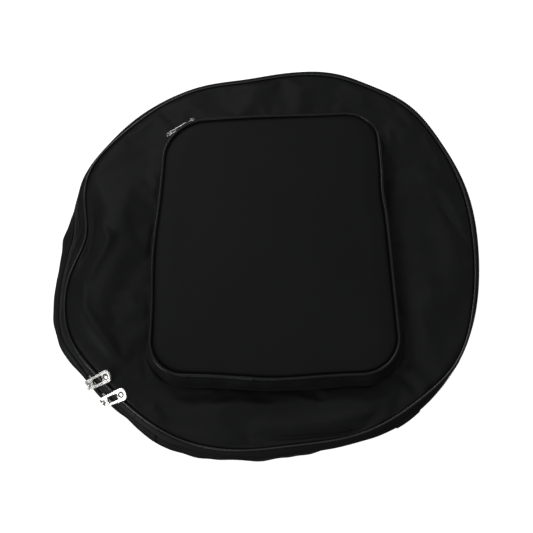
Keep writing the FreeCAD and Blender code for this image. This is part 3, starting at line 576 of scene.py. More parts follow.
# Name, darkest, lightest, roughness, pitch, weave, mottle, sheen, specular level.
SHELL = woven("shell_cloth", grey(0.0112), grey(0.0166), 0.50, 0.75, 0.35, 0.10, 0.03, 0.22)
FACE = woven("pocket_face_cloth", grey(0.0096), grey(0.0124), 0.54, 0.75, 0.35, 0.06, 0.03, 0.20)
POCKET_CORD = woven("pocket_piping", grey(0.008), grey(0.012), 0.30, 0.6, 0.10, 0.03, 0.0, 0.45)
CORD = woven("piping", grey(0.009), grey(0.013), 0.24, 0.6, 0.08, 0.03, 0.0, 0.9)
# The zip tape's grey is partly its own colour and partly painted light: it is made lighter all over
# to stand in for the light from the left on the tapes.
TAPE_PAINTED_LIGHTER = woven("zip_tape", grey(0.075), grey(0.095), 0.62, 1.1, 0.6, 0.05, 0.04, 0.3)
LINING = woven("lining", grey(0.016), grey(0.024), 0.5, 0.5, 0.3, 0.25, 0.05)
FOAM = woven("padding", grey(0.045), grey(0.060), 0.95, 1.6, 0.4, 0.2, 0.0)
BINDING = woven("binding_tape", grey(0.010), grey(0.014), 0.7, 1.3, 0.6, 0.05, 0.03)
THREAD = woven("thread", grey(0.014), grey(0.020), 0.5, 0.3, 0.2, 0.0, 0.05)
COIL_PAINTED_LIGHTER = coil_plastic("zip_coil")
NICKEL = nickel_plate("nickel")


# ---- the pocket's outline ---------------------------------------------------

POCKET_CORNERS = [(-153.5, -173.0), (154.0, -184.0), (146.5, 182.0), (-135.5, 182.5)]
POCKET_ROUNDS = [44.0, 46.0, 42.0, 60.0]
# How far the outline strays: (x, y, spread, distance outwards).
POCKET_STRAY = [(148, 62, 26, -2.2), (-146, -10, 66, 4.5), (0, -178, 62, 6.0), (-20, 182, 60, 1.5)]


def pocket_outline(grow, count=420):
    """The pocket's outline, counterclockwise, grown outwards: points and outward normals."""
    loop = rounded(POCKET_CORNERS, POCKET_ROUNDS, 24)
    ring = np.vstack([loop, loop[:1]])
    travel = travelled(ring)
    points = resampled(np.arange(count) * travel[-1] / count, travel, ring)
    along = unit(np.roll(points, -1, axis=0) - np.roll(points, 1, axis=0))
    out = np.stack([along[:, 1], -along[:, 0]], axis=1)
    stray = np.zeros(count)
    for x, y, spread, distance in POCKET_STRAY:
        away = np.linalg.norm(points - (x, y), axis=1)
        stray += distance * np.exp(-((away / spread) ** 2))
    return points + out * (stray + grow)[:, None], out


def pocket_reach(angle, grow):
    """The outline's distance from the middle at an angle."""
    points, _ = pocket_outline(grow, 720)
    turn = np.degrees(np.arctan2(points[:, 1], points[:, 0])) % 360
    order = np.argsort(turn)
    return np.interp(np.asarray(angle) % 360, turn[order], np.hypot(*points[order].T), period=360)


# ---- the front panel --------------------------------------------------------


def fold_height(x, y):
    """The height of the panel's folds at points."""
    total = np.zeros_like(x)
    for line, width, height in FOLDS:
        nearest, share = np.full_like(x, 1e9), np.zeros_like(x)
        runs = len(line) - 1
        for n, ((x0, y0), (x1, y1)) in enumerate(zip(line[:-1], line[1:])):
            run = np.array([x1 - x0, y1 - y0], float)
            t = np.clip(((x - x0) * run[0] + (y - y0) * run[1]) / (run @ run), 0, 1)
            away = np.hypot(x - x0 - t * run[0], y - y0 - t * run[1])
            share = np.where(away < nearest, (n + t) / runs, share)
            nearest = np.minimum(nearest, away)
        fade = 0.25 + 0.75 * smoothstep(0.0, 0.3, share) * smoothstep(0.0, 0.3, 1 - share)
        total = total + height * fade * np.exp(-((nearest / width) ** 2))
    slack = np.sin(x / 23 + 1.1) * np.sin(y / 29 - 0.6) + 0.6 * np.sin((x - y) / 15 + 0.4)
    return total + 0.45 * slack


def rim_reach(angle):
    return RIM_RADIUS + bumps(angle, RIM_STRAY)


def rim_level(angle):
    return RIM_HEIGHT + bumps(angle, RIM_RISE)


AROUND = 420
ANGLES = np.arange(AROUND) * 360.0 / AROUND
HIDDEN_RINGS = 7  # under the pocket
OPEN_RINGS = 40
RING_CROWDING = 0.09  # how much closer together the rings are at both ends
PANEL_BASE = POCKET_FLOOR - 0.9
PANEL_CROWN = 2.6


def front_rows():
    """Rings of the front panel from its middle to the rim, before it settles."""
    foot = pocket_reach(ANGLES, POCKET_FLARE - 2.0)
    edge = rim_reach(ANGLES) - PIPING * 0.9
    level = rim_level(ANGLES)
    turn = np.radians(ANGLES)
    rows = []
    for k in range(HIDDEN_RINGS):
        share = (k + 0.6) / HIDDEN_RINGS
        rows.append(polar(foot * share, ANGLES, np.full(AROUND, PANEL_BASE)))
    for k in range(OPEN_RINGS):
        v = k / (OPEN_RINGS - 1)
        v -= RING_CROWDING * math.sin(2 * math.pi * v) / (2 * math.pi)
        radius = foot + (edge - foot) * v
        x, y = radius * np.cos(turn), radius * np.sin(turn)
        base = PANEL_BASE * (1 - v) + (level + 0.2) * v
        crown = PANEL_CROWN * np.sin(math.pi * min(1.0, v * 1.02)) ** 0.8 if 0 < v < 1 else 0.0
        loose = smoothstep(0.0, 0.10, v) * smoothstep(0.0, 0.09, 1 - v)
        tuck = -1.5 * smoothstep(0.965, 1.0, v)
        folds = fold_height(x, y)
        rows.append(polar(radius, ANGLES, base + (crown + folds) * loose + tuck))
    return np.array(rows)


def on_lid(x, y, z):
    return y > FOLD_LINE + 3.0


def make_front_panel():
    """The front panel, settled: its piece and its rings."""
    rows = front_rows()
    panel = capped_mesh("front_panel_cloth", rows, SHELL, 0)
    count = rows.shape[0] * rows.shape[1]
    held = [i for i in range(count + 1)
            if i // AROUND <= HIDDEN_RINGS or i // AROUND >= rows.shape[0] - 2]
    settle(panel, held, growth=0.0035, pressure=0.5, frames=14, cap=3.0)
    final = np.array([v.co for v in panel.data.vertices]) / MM
    thicken(panel, CLOTH)
    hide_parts("front_panel", "front_panel_fold")
    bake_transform(panel)
    return panel, final[:count].reshape(rows.shape)


def make_front():
    """The front panel with its stiffening, lining, piping and bound seam."""
    panel, rows = make_front_panel()
    inner = rows[:-3]
    lining = make_padding("front", "lid", inner - (0, 0, 3.6), FOAM_THICKNESS,
                          inner - (0, 0, 6.9), on_lid)

    fine = np.arange(900) * 0.4
    line = polar(rim_reach(fine), fine, rim_level(fine))
    piping = piping_tube("front_piping_cord", line, PIPING, CORD, 10)
    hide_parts("front_piping", "front_piping_fold")
    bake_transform(piping)

    span = np.linspace(-50, 230, 400)
    reach = rim_reach(span) - 3.2
    rows = [polar(reach, span, rim_level(span) - depth) for depth in (1.6, 3.0, 4.5, 6.0)]
    binding = sheet_mesh("front_seam_tape", rows, False, BINDING, 1.4)
    attach(binding, "binding_tape", "lid", "front_seam_binding")
    return panel, lining, binding


# ---- the side wall ----------------------------------------------------------

WALL_RUN_STEPS = 14  # points on each run of the wall's section


def wall_profile(angle):
    """The wall's section from the rim seam down to the back seam at one angle."""
    rim, zip_out = float(bumps(angle, RIM_STRAY)), float(bumps(angle, ZIP_STRAY))
    belly = float(bumps(angle, BELLY_STRAY))
    rise, zip_rise = float(bumps(angle, RIM_RISE)), float(bumps(angle, ZIP_RISE))
    low = belly * 0.75 + 1.6 * float(waves(angle, 3))
    base = belly * 0.35
    dent = float(smoothstep(3.0, 12.0, zip_out - rim))
    top = (RIM_RADIUS + rim + 1.3, RIM_HEIGHT + rise - 1.0)
    middle = (ZIP_RADIUS + zip_out, ZIP_HEIGHT + zip_rise)
    shoulder = (0.28 * top[0] + 0.72 * middle[0] + 0.8 - 5.0 * dent,
                0.52 * top[1] + 0.48 * middle[1] + 0.6 - 5.0 * dent)
    points = np.array([
        (top[0] - 1.5, top[1] + 3.0),  # this one only steers the curve at its start
        top,
        shoulder,
        middle,
        (BELLY_RADIUS + belly, BELLY_HEIGHT + 1.5 * float(waves(angle, 5))),
        (271.3 + low, 27.2),
        (257.0 + base, 10.4),
        (BACK_RADIUS + base + 2.0, 3.6),
        (BACK_RADIUS + base - 4.5, 2.6),
        (BACK_RADIUS + base - 12.0, 2.4),  # and this one at its end
    ])
    steps = []
    for k in range(1, len(points) - 2):
        p0, p1, p2, p3 = points[k - 1:k + 3]
        for t in np.linspace(0, 1, WALL_RUN_STEPS, endpoint=False):
            steps.append(0.5 * (2 * p1 + (p2 - p0) * t + (2 * p0 - 5 * p1 + 4 * p2 - p3) * t * t
                                + (3 * p1 - p0 - 3 * p2 + p3) * t ** 3))
    steps.append(points[-2])
    return np.array(steps)


def wall_rows(angles, distances, offset=0.0, ripple=0.0):
    """Points at distances down the wall from the rim seam, moved outwards by offset.

    A distance is in millimetres, or, where negative, a share of the way to the back seam.
    """
    rows = np.zeros((len(distances), len(angles), 3))
    outs = np.zeros_like(rows)
    for j, angle in enumerate(angles):
        profile = wall_profile(angle)
        travel = travelled(profile)
        at = np.array([d if d >= 0 else -d * travel[-1] for d in distances])
        radius, height = resampled(at, travel, profile).T
        along = unit(resampled(at + 1.5, travel, profile) - resampled(at - 1.5, travel, profile))
        out_r, out_z = -along[:, 1], along[:, 0]
        share = at / travel[-1]
        swell = ripple * np.sin(math.pi * np.clip(share * 1.1, 0, 1)) ** 2
        upright = waves(angle, 1, (23, 31, 47, 61))
        slanting = waves(angle + 60 * share, 2, (13, 19, 29, 37))
        shift = offset + swell * (upright + 0.6 * slanting)
        rows[:, j] = polar(radius + out_r * shift, angle, height + out_z * shift)
        outs[:, j] = polar(out_r, angle, out_z)
    return rows, outs


FRONT_EDGE, REAR_EDGE = 10.2, 21.0  # where the cloth stops above and below the zip
COIL_FRONT, COIL_REAR = 13.8, 17.4
REAR_SPAN_FROM = HINGE_TO - 360
WALL_RIPPLE = 1.6
HINGE_CREASES = (9.5, 20.5)  # in line with the edges of the cloth beside the zip


def shares(first, count):
    """Distances for wall_rows() from a share of the way down to the back seam."""
    return [-s for s in np.linspace(first, 1.0, count)]


def make_gussets():
    """The side wall above and below the zip."""
    rows, _ = wall_rows(np.linspace(ZIP_FROM, ZIP_TO, 520), np.linspace(0.0, FRONT_EDGE, 8))
    front = sheet_mesh("front_gusset_cloth", rows, False, SHELL, CLOTH)
    depths = [REAR_EDGE, REAR_EDGE + 1.5, REAR_EDGE + 4.0] + shares(0.32, 30)
    span = np.linspace(REAR_SPAN_FROM - 2, HINGE_FROM + 2, 620)
    rows, _ = wall_rows(span, depths, 0.0, WALL_RIPPLE)
    rear = sheet_mesh("rear_gusset_cloth", rows, False, SHELL, CLOTH)
    attach(front, "shell_cloth", "lid", "front_gusset")
    attach(rear, "shell_cloth", "back_shell", "rear_gusset")
    return front, rear


def make_hinge():
    """The plain stretch of side wall, creased where the zip's edges would be."""
    depths = list(np.linspace(0.0, 24.0, 22)) + shares(0.34, 28)
    rows, outs = wall_rows(np.linspace(HINGE_FROM, HINGE_TO, 170), depths, 0.35, WALL_RIPPLE)
    for k, depth in enumerate(depths):
        if depth >= 0:
            crease = sum(-1.1 * math.exp(-((depth - at) / 1.3) ** 2) for at in HINGE_CREASES)
            rows[k] += outs[k] * crease
    hinge = sheet_mesh("hinge_panel_cloth", rows, False, SHELL, 1.3)
    return attach(hinge, "shell_cloth", "back_shell", "hinge_panel")


def make_end_tab(side, first):
    """A stitched-down patch of cloth over an end of the zip, from an angle on."""
    rows, outs = wall_rows(np.linspace(first, first + 7.0, 18), np.linspace(7.0, 23.0, 12), 1.7)
    turned_down = 0.9 * np.linspace(-1, 1, 12)[:, None] ** 8
    tab = sheet_mesh("tab", rows - outs * turned_down[:, :, None], False, SHELL, CLOTH)
    box, box_out = wall_rows(np.linspace(first + 0.6, first + 6.4, 30), [8.6, 21.4], 2.4)
    lines = [(line, box_out[0]) for line in box]
    lines += [(np.linspace(box[0][end], box[1][end], 12), box_out[0][end]) for end in (0, -1)]
    rungs = [stitches("row", line, out, 2.6, 0.28) for line, out in lines]
    tab = join(f"zip_end_tab_{side}_cloth", [tab] + rungs)
    return attach(tab, "shell_cloth", "back_shell", f"zip_end_tab_{side}")


def make_wall():
    """The side wall's pieces by name."""
    front, rear = make_gussets()
    return {"front": front, "rear": rear, "hinge": make_hinge(),
            "tab_left": make_end_tab("left", 231.6), "tab_right": make_end_tab("right", 301.4)}


COIL_PITCH, COIL_TURN_STEPS = 2.1, 8


def coil(name, angles, depth, phase):
    """A zip's coil: one wire wound along the wall at a distance down from the rim."""
    line, out = wall_rows(angles, [depth], -0.4)
    travel = travelled(line[0])
    at = np.arange(0, travel[-1], COIL_PITCH / COIL_TURN_STEPS)
    line = resampled(at, travel, line[0])
    out = unit(resampled(at, travel, out[0]))
    down = np.cross(unit(np.gradient(line, axis=0)), out)
    turn = 2 * math.pi * at / COIL_PITCH + phase
    spoke = out * np.cos(turn)[:, None] * 1.15 + down * np.sin(turn)[:, None] * 1.7
    return tube(name, line + spoke, 0.52, spoke, False, COIL_PAINTED_LIGHTER, 5)


def make_zip():
    """The main zip's tapes, coils and stitches, on both sides of the opening."""
    lid_span = np.linspace(ZIP_FROM + 0.3, ZIP_TO - 0.3, 700)
    shell_span = np.linspace(REAR_SPAN_FROM - 1, HINGE_FROM + 1, 700)
    halves = (
        ("front", "lid", lid_span, (FRONT_EDGE - 2.2, 14.2), COIL_FRONT, math.pi, FRONT_EDGE - 1.6),
        ("rear", "back_shell", shell_span, (16.9, REAR_EDGE + 2.4), COIL_REAR, 0.0, REAR_EDGE + 1.6),
    )
    ribs = 0.22 * np.cos(np.linspace(0, 5 * math.pi, 9))
    tapes = []
    for half, body, span, (near, far), middle, phase, seam in halves:
        rows, outs = wall_rows(span, np.linspace(near, far, 9), -1.7)
        rows += outs * ribs[:, None, None]
        tape = sheet_mesh(f"{half}_zip_tape_cloth", rows, False, TAPE_PAINTED_LIGHTER, 0.7)
        wire = coil(f"{half}_zip_coil_wire", span, middle, phase)
        line, out = wall_rows(span, [seam], 0.62)
        row = stitches(f"{half}_zip_stitches", line[0], out[0], 3.2, 0.3)
        tapes.append(attach(tape, "zip_tape", body, f"{half}_zip_tape"))
        attach(wire, "zip_coil", body, f"{half}_zip_coil")
        attach(row, "shell_cloth", body)
    return tapes


# ---- the back ---------------------------------------------------------------


def back_reach(angle, nominal):
    return nominal + 0.35 * bumps(angle, BELLY_STRAY) * nominal / BACK_RADIUS


DISC_RINGS = 26


def disc_rows(radius, height, wrinkle, seed):
    """Rings of a round layer that lies nearly flat."""
    rows = []
    edge = back_reach(ANGLES, radius)
    turn = np.radians(ANGLES)
    for k in range(DISC_RINGS):
        share = (k + 0.5) / (DISC_RINGS - 0.5)
        x, y = edge * share * np.cos(turn), edge * share * np.sin(turn)
        soft = np.sin(x / 31 + seed) * np.cos(y / 27 - seed) + 0.6 * np.sin((x + y) / 17 + 2 * seed)
        rows.append(polar(edge * share, ANGLES, height + wrinkle * soft))
    return rows


def make_back():
    """The flat back with its piping, stiffening, lining and bound seam."""
    panel = capped_mesh("back_panel_cloth", disc_rows(236.8, 0.85, 0.12, 1.0), SHELL, CLOTH)
    lining = make_padding("back", "back_shell", disc_rows(230.5, 4.1, 0.15, 2.0), FOAM_THICKNESS,
                          disc_rows(231.5, 7.6, 0.45, 3.0))
    fine = np.arange(700) * 360 / 700
    line = polar(back_reach(fine, BACK_RADIUS), fine, np.full(700, 1.9))
    piping = piping_tube("back_piping_cord", line, PIPING, CORD, 10)
    seam = back_reach(ANGLES, 235.0)
    rows = [polar(seam, ANGLES, np.full(AROUND, level)) for level in (2.4, 4.0, 5.6, 7.2)]
    binding = sheet_mesh("back_seam_tape", rows, True, BINDING, 1.3)
    attach(panel, "shell_cloth", "back_shell", "back_panel")
    attach(piping, "piping", "back_shell", "back_piping")
    attach(binding, "binding_tape", "back_shell", "back_seam_binding")
    return panel, lining, binding


# ---- the pocket -------------------------------------------------------------

POCKET_LEAN = math.radians(13.8)
WALL_MIDDLE = np.array([0.0, 183.0, 85.3])
WALL_OUT = np.array([0.0, math.cos(POCKET_LEAN), math.sin(POCKET_LEAN)])
WALL_UP = np.array([0.0, -math.sin(POCKET_LEAN), math.cos(POCKET_LEAN)])
SLOT_HALF_LENGTH, SLOT_HALF_WIDTH = 107.0, 4.6


def on_wall(x, out, up):
    """A point of the pocket's top wall."""
    return WALL_MIDDLE + np.array([x, 0.0, 0.0]) + WALL_OUT * out + WALL_UP * up


POCKET_WALL_LOW, POCKET_WALL_HIGH = POCKET_FLOOR - 0.2, 97.9
POCKET_WALL_SLANT = 25.1  # its length down the slope
SLOT_SHARE = SLOT_HALF_WIDTH / POCKET_WALL_SLANT
POCKET_WALL_SHARES = [0.0, 0.05, 0.12, 0.22, 0.5 - SLOT_SHARE, 0.4, 0.5, 0.6, 0.5 + SLOT_SHARE,
                      0.78, 0.88, 0.95, 1.0]


def pocket_wall_rows(count=560):
    """Rings of the pocket's wall from its foot to its top, smooth where the zip is."""
    foot, out = pocket_outline(0.0, count)
    place = np.arange(count) / count * 2 * math.pi
    loose = 1 - np.exp(-((foot[:, 0] / 125.0) ** 8)) * smoothstep(150, 175, foot[:, 1])
    rows = []
    for v in POCKET_WALL_SHARES:
        crumple = np.sin(place * 17 + 2.3 * v) + 0.7 * np.sin(place * 31 - 1.7 * v)
        slack = (1.9 + 0.75 * crumple) * math.sin(math.pi * v) * loose
        xy = foot + out * (POCKET_FLARE * (1 - v) + slack)[:, None]
        height = POCKET_WALL_LOW + (POCKET_WALL_HIGH - POCKET_WALL_LOW) * v
        rows.append(np.column_stack([xy, np.full(count, height)]))
    return np.array(rows)


def outside_slot(x, y, z):
    up = (z - WALL_MIDDLE[2]) / math.cos(POCKET_LEAN)
    return not (y > 170 and abs(x) < SLOT_HALF_LENGTH and abs(up) < SLOT_HALF_WIDTH)


def make_pocket_piping(count=700):
    """The piping round the pocket's face, with the short sleeve that hides its joint."""
    line, _ = pocket_outline(0.0, count)
    place = np.arange(count) / count * 2 * math.pi
    level = POCKET_TOP + 0.5 * np.sin(place * 3 + 1) + 0.25 * np.sin(place * 8)
    line = np.column_stack([line, level])
    cord = piping_tube("pocket_piping_cord", line, POCKET_PIPING, POCKET_CORD, 12)
    joint = np.argmin(np.hypot(line[:, 0] + 33, line[:, 1] + 184))
    wrapped = line[joint - 5:joint + 6]
    sleeve = piping_tube("sleeve", wrapped, POCKET_PIPING + 0.35, POCKET_CORD, 12, closed=False)
    cord = join("pocket_piping_cord", [cord, sleeve])
    attach(cord, "piping", "lid", "pocket_piping")


FACE_RINGS = 34


def pocket_face_rows():
    """Rings of the pocket's face, crowned in the middle and pulled in at the piping."""
    edge, _ = pocket_outline(-(POCKET_PIPING - 0.1), 420)
    rows = []
    for k in range(FACE_RINGS):
        share = ((k + 0.5) / (FACE_RINGS - 0.5)) ** 0.82
        xy = edge * share
        gap = np.linalg.norm(edge, axis=1) * (1 - share)
        crown = 1.5 * smoothstep(0, 26, gap) + 1.0 * smoothstep(10, 120, gap)
        groove = -1.5 * np.exp(-((gap / 2.6) ** 2))
        soft = 0.7 * np.sin(xy[:, 0] / 46 + 0.8) * np.cos(xy[:, 1] / 58 - 0.4)
        soft = soft + 0.35 * np.sin((xy[:, 0] * 0.8 + xy[:, 1]) / 27 + 1.3)
        level = POCKET_TOP - 0.2 + crown + groove + soft * smoothstep(4, 40, gap)
        rows.append(np.column_stack([xy, level]))
    return np.array(rows)


def make_pocket():
    """The raised pocket: wall, piping, crowned face with its layers, and top seam."""
    wall = sheet_mesh("pocket_gusset_cloth", pocket_wall_rows(), True, SHELL, 1.3, outside_slot)
    attach(wall, "shell_cloth", "lid", "pocket_gusset")
    make_pocket_piping()

    rows = pocket_face_rows()
    inner = rows[:-4]
    face = capped_mesh("pocket_face_cloth", rows, FACE, 1.3)
    attach(face, "shell_cloth", "lid", "pocket_panel")
    lining = make_padding("pocket", "lid", inner - (0, 0, 2.1), 2.4, inner - (0, 0, 3.8))

    line, out = pocket_outline(0.9, 500)
    line = np.column_stack([line, np.full(500, 96.6)])
    out = np.column_stack([out, np.zeros(500)])
    seam = stitches("pocket_seam_stitches", np.vstack([line, line[:1]]), np.vstack([out, out[:1]]),
                    3.4, 0.3)
    attach(seam, "shell_cloth", "lid")
    return wall, face, lining


POCKET_COIL_PITCH = 1.6


def make_pocket_zip_half(name, side, phase):
    """A tape, coil and row of stitches on one side of the pocket's slot."""
    across = np.linspace(-106, 106, 180)
    rows = np.array([[on_wall(x, -2.2 + 0.15 * math.cos(step * 1.3), side * up) for x in across]
                     for step, up in enumerate(np.linspace(0.8, 8.9, 9))])
    tape = sheet_mesh(f"pocket_zip_tape_{name}_cloth", rows, False, TAPE_PAINTED_LIGHTER, 0.6)
    at = np.arange(-103, 103, 0.2)
    turn = 2 * math.pi * at / POCKET_COIL_PITCH + phase
    spoke = WALL_OUT * np.cos(turn)[:, None] * 0.95 + WALL_UP * np.sin(turn)[:, None] * 1.45
    line = np.array([on_wall(x, -0.9, 1.45 * side) for x in at])
    wire = tube(f"pocket_zip_coil_{name}_wire", line + spoke, 0.42, spoke, False, COIL_PAINTED_LIGHTER, 5)
    seam = [on_wall(x, 0.75, side * (SLOT_HALF_WIDTH + 1.6)) for x in across]
    row = stitches(f"pocket_zip_{name}_stitches", seam, WALL_OUT, 3.2, 0.28)
    attach(wire, "zip_coil", "lid", f"pocket_zip_coil_{name}")
    attach(row, "shell_cloth", "lid")
    return attach(tape, "zip_tape", "lid", f"pocket_zip_tape_{name}")


def make_pocket_zip():
    """The pocket's zip: tapes, coils and stops in the slot of the top wall."""
    tapes = [make_pocket_zip_half("upper", 1, 0), make_pocket_zip_half("lower", -1, math.pi)]
    for name, side in (("left", -1), ("right", 1)):
        place = frame_at(on_wall(105.2 * side, 0, 0), (1, 0, 0), WALL_UP)
        loop = oblong(-1.1, 1.1, -3.2, 3.2, [0.8] * 4)
        stop = plate(f"pocket_zip_stop_{name}_clip", [loop], 0.6, 2.2, 0.5, place)
        attach(stop, "nickel", "lid", f"pocket_zip_stop_{name}")
    return tapes


# ---- sliders and pull tabs --------------------------------------------------


def tab_parts(length, pad, tail, window, slot_half, thick, place, boss):
    """A framed pull tab: plate with a window, raised rims, and a boss on its pad.

    pad and tail are its widths at the two ends. window is its (start, end, half width),
    and boss the (middle, half length, half width) of the raised oval.
    """
    corners = [(-4, -tail / 2), (length, -pad / 2), (length, pad / 2), (-4, tail / 2),
               (-4, slot_half), (5, slot_half), (5, -slot_half), (-4, -slot_half)]
    rounds = [1.6, pad * 0.42, pad * 0.42, 1.6, 0.3, slot_half * 0.7, slot_half * 0.7, 0.3]
    outer = rounded(corners, rounds)
    start, end, half = window
    hole = oblong(start, end, -half, half, [min(1.9, half * 0.8)] * 4)
    neck = tail / 2 + 0.1
    rim_out = rounded([(6.4, -neck), (length, -pad / 2), (length, pad / 2), (6.4, neck)],
                      [2.4, pad * 0.42, pad * 0.42, 2.4], 9)
    parts = [plate("base", [outer, hole], 0, thick * 0.72, 0.25, place),
             plate("rim", [inset(rim_out, 0.15), inset(rim_out, 1.75)], 0, thick + 0.7, 0.5, place),
             plate("sill", [inset(hole, -1.0), inset(hole, -0.1)], 0, thick + 0.2, 0.3, place)]
    middle, half_length, half_width = boss
    for side in (1, -1):
        turned = place @ Matrix.Scale(side, 4, (0, 0, 1))
        parts.append(dome((middle, 0, thick * 0.3), (half_length, half_width), 1.3, turned))
    return parts


# A pin as rings: (share of the way along it, share of its radius).
PIN_RINGS = [(0.0, 0.35), (0.02, 0.8), (0.06, 1.0), (0.94, 1.0), (0.98, 0.8), (1.0, 0.35)]
PIN_SIDES = 14


def pin(start, end, radius, place):
    """A round pin with softened ends between two points of the local frame."""
    start, end = np.array(start, float), np.array(end, float)
    along = end - start
    upright = abs(along[2]) >= 0.5 * np.linalg.norm(along)
    side = [1.0, 0.0, 0.0] if upright else [0.0, 0.0, 1.0]
    centres = np.array([start + along * share for share, _ in PIN_RINGS])
    points, faces = tube_data(centres, 1.0, np.tile(side, (len(PIN_RINGS), 1)), False, PIN_SIDES)
    for i, (_, share) in enumerate(PIN_RINGS):
        ring = slice(i * PIN_SIDES, (i + 1) * PIN_SIDES)
        points[ring] = centres[i] + (points[ring] - centres[i]) * radius * share
    obj = add_mesh("pin", points, faces, NICKEL)
    obj.data.transform(place)
    return obj


def knuckles(inner, outer, radius, place):
    """The two ends of a tab that turn on the slider's pin."""
    return [pin((0, low, 0), (0, high, 0), radius, place)
            for low, high in ((-outer, -inner), (inner, outer))]


def make_metal(name, body, parts):
    """One nickel piece from its parts, in place of the CAD node of that name."""
    attach(join(f"{name}_metal", parts), "nickel", body, name)


SLIDERS = {"a": (216.0, 22.0), "b": (222.0, 27.0)}  # angle round the bag, the tab's skew
CROWN_RADIUS, CROWN_LEVEL = 288.1, 60.0
TAB_SLOPE = math.radians(45.0)


def slider_parts(out, ahead, crown):
    """A main slider: outer shield with lips, blade, inner plate, and crown with its pin."""
    face = frame_at((0, 0, 0), ahead, (0, 0, 1))
    side_view = frame_at((0, 0, 0), out, (0, 0, 1))
    shield = rounded([(-10, ZIP_HEIGHT - 4.6), (9.8, ZIP_HEIGHT - 5.5), (9.8, ZIP_HEIGHT + 5.5),
                      (-10, ZIP_HEIGHT + 4.6)], [2.6, 4.2, 4.2, 2.6])
    parts = [plate("shield", [shield], 281.35, 1.5, 0.5, face)]
    for middle in (ZIP_HEIGHT + 4.9, ZIP_HEIGHT - 4.9):
        lip = oblong(-8.5, 7.5, middle - 0.6, middle + 0.6, [0.5] * 4)
        parts.append(plate("lip", [lip], 280.3, 2.0, 0.4, face))
    blade = oblong(6.0, 9.0, ZIP_HEIGHT - 0.45, ZIP_HEIGHT + 0.45, [0.3] * 4)
    parts.append(plate("blade", [blade], 278.0, 6.0, 0.2, face))
    inner = oblong(-9.5, 9.5, ZIP_HEIGHT + 0.5, ZIP_HEIGHT + 5.4, [0.4, 0.4, 2.4, 2.4])
    parts.append(plate("inner", [inner], 274.2, 1.4, 0.4, face))
    post = rounded([(281.4, 57.9), (288.1, 57.9), (290.2, 60.0), (288.1, 62.1), (281.4, 62.1)],
                   [0.4, 1.6, 1.2, 1.6, 0.4])
    parts.append(plate("crown", [post], 0, 4.0, 0.7, side_view))
    half_pin = 5.5 * np.array(ahead)
    parts.append(pin(crown - half_pin, crown + half_pin, 0.8, Matrix.Identity(4)))
    return parts


def make_main_slider(name, angle, skew):
    """A slider of the main zip and its pull tab."""
    turn = math.radians(angle)
    out = Vector((math.cos(turn), math.sin(turn), 0))
    ahead = Vector((-math.sin(turn), math.cos(turn), 0))
    crown = np.array(out) * CROWN_RADIUS + (0, 0, CROWN_LEVEL)
    make_metal(f"zip_slider_{name}", f"slider_{name}", slider_parts(out, ahead, crown))

    along = out * -math.cos(TAB_SLOPE) + Vector((0, 0, math.sin(TAB_SLOPE)))
    place = frame_at(crown, along, -ahead)
    flat = place @ Matrix.Rotation(math.radians(-skew), 4, "Z")
    parts = tab_parts(43.0, 17.5, 12.4, (9.8, 27.8, 3.7), 2.35, 1.8, flat, (34.2, 5.2, 4.2))
    make_metal(f"pull_tab_{name}", f"tab_{name}", parts + knuckles(2.4, 4.8, 1.9, place))


POCKET_SLIDER_PLACE = -98.0
POCKET_TAB_TURN, POCKET_TAB_LEAN = math.radians(210.0), math.radians(-38)


def make_pocket_slider():
    """The pocket zip's slider and its pull tab, lying back round the corner."""
    base = on_wall(POCKET_SLIDER_PLACE, 0, 0)
    face = frame_at(base, (1, 0, 0), WALL_UP)  # its local Z points into the pocket
    top = frame_at(base, (1, 0, 0), WALL_OUT)
    body = rounded([(-6, -4.5), (6, -3.6), (6, 3.6), (-6, 4.5)], [2.2, 1.6, 1.6, 2.2])
    blade = oblong(-5.4, -3.4, -0.45, 0.45, [0.2] * 4)
    post = rounded([(-5.6, 1.5), (-2.4, 1.5), (-2.4, 8.0), (-4.0, 9.6), (-5.6, 8.0)],
                   [0.3, 0.3, 1.0, 0.7, 1.0])
    parts = [plate("outer", [body], -1.2, 1.4, 0.4, face),
             plate("inner", [body], 3.2, 1.2, 0.35, face),
             plate("blade", [blade], 1.0, 5.0, 0.15, face),
             plate("crown", [post], 0, 3.2, 0.6, top),
             pin((-4, 8, -4.5), (-4, 8, 4.5), 0.8, top)]
    make_metal("pocket_slider", "pocket_slider", parts)

    along = np.array([1.0, 0, 0]) * math.cos(POCKET_TAB_TURN) + WALL_OUT * math.sin(POCKET_TAB_TURN)
    place = frame_at(on_wall(POCKET_SLIDER_PLACE - 4.0, 8.0, 0), along, WALL_UP)
    leant = place @ Matrix.Rotation(POCKET_TAB_LEAN, 4, "X")  # it hangs loose on its pin
    parts = tab_parts(41.0, 12.4, 8.4, (8.6, 25.0, 2.4), 1.95, 1.6, leant, (33.4, 4.4, 3.6))
    make_metal("pocket_pull_tab", "pocket_tab", parts + knuckles(2.0, 3.8, 1.7, place))


# ---- floor, lights and camera -----------------------------------------------


FLOOR = 6000.0  # half its width
AIM = (0, 0, 0.05)


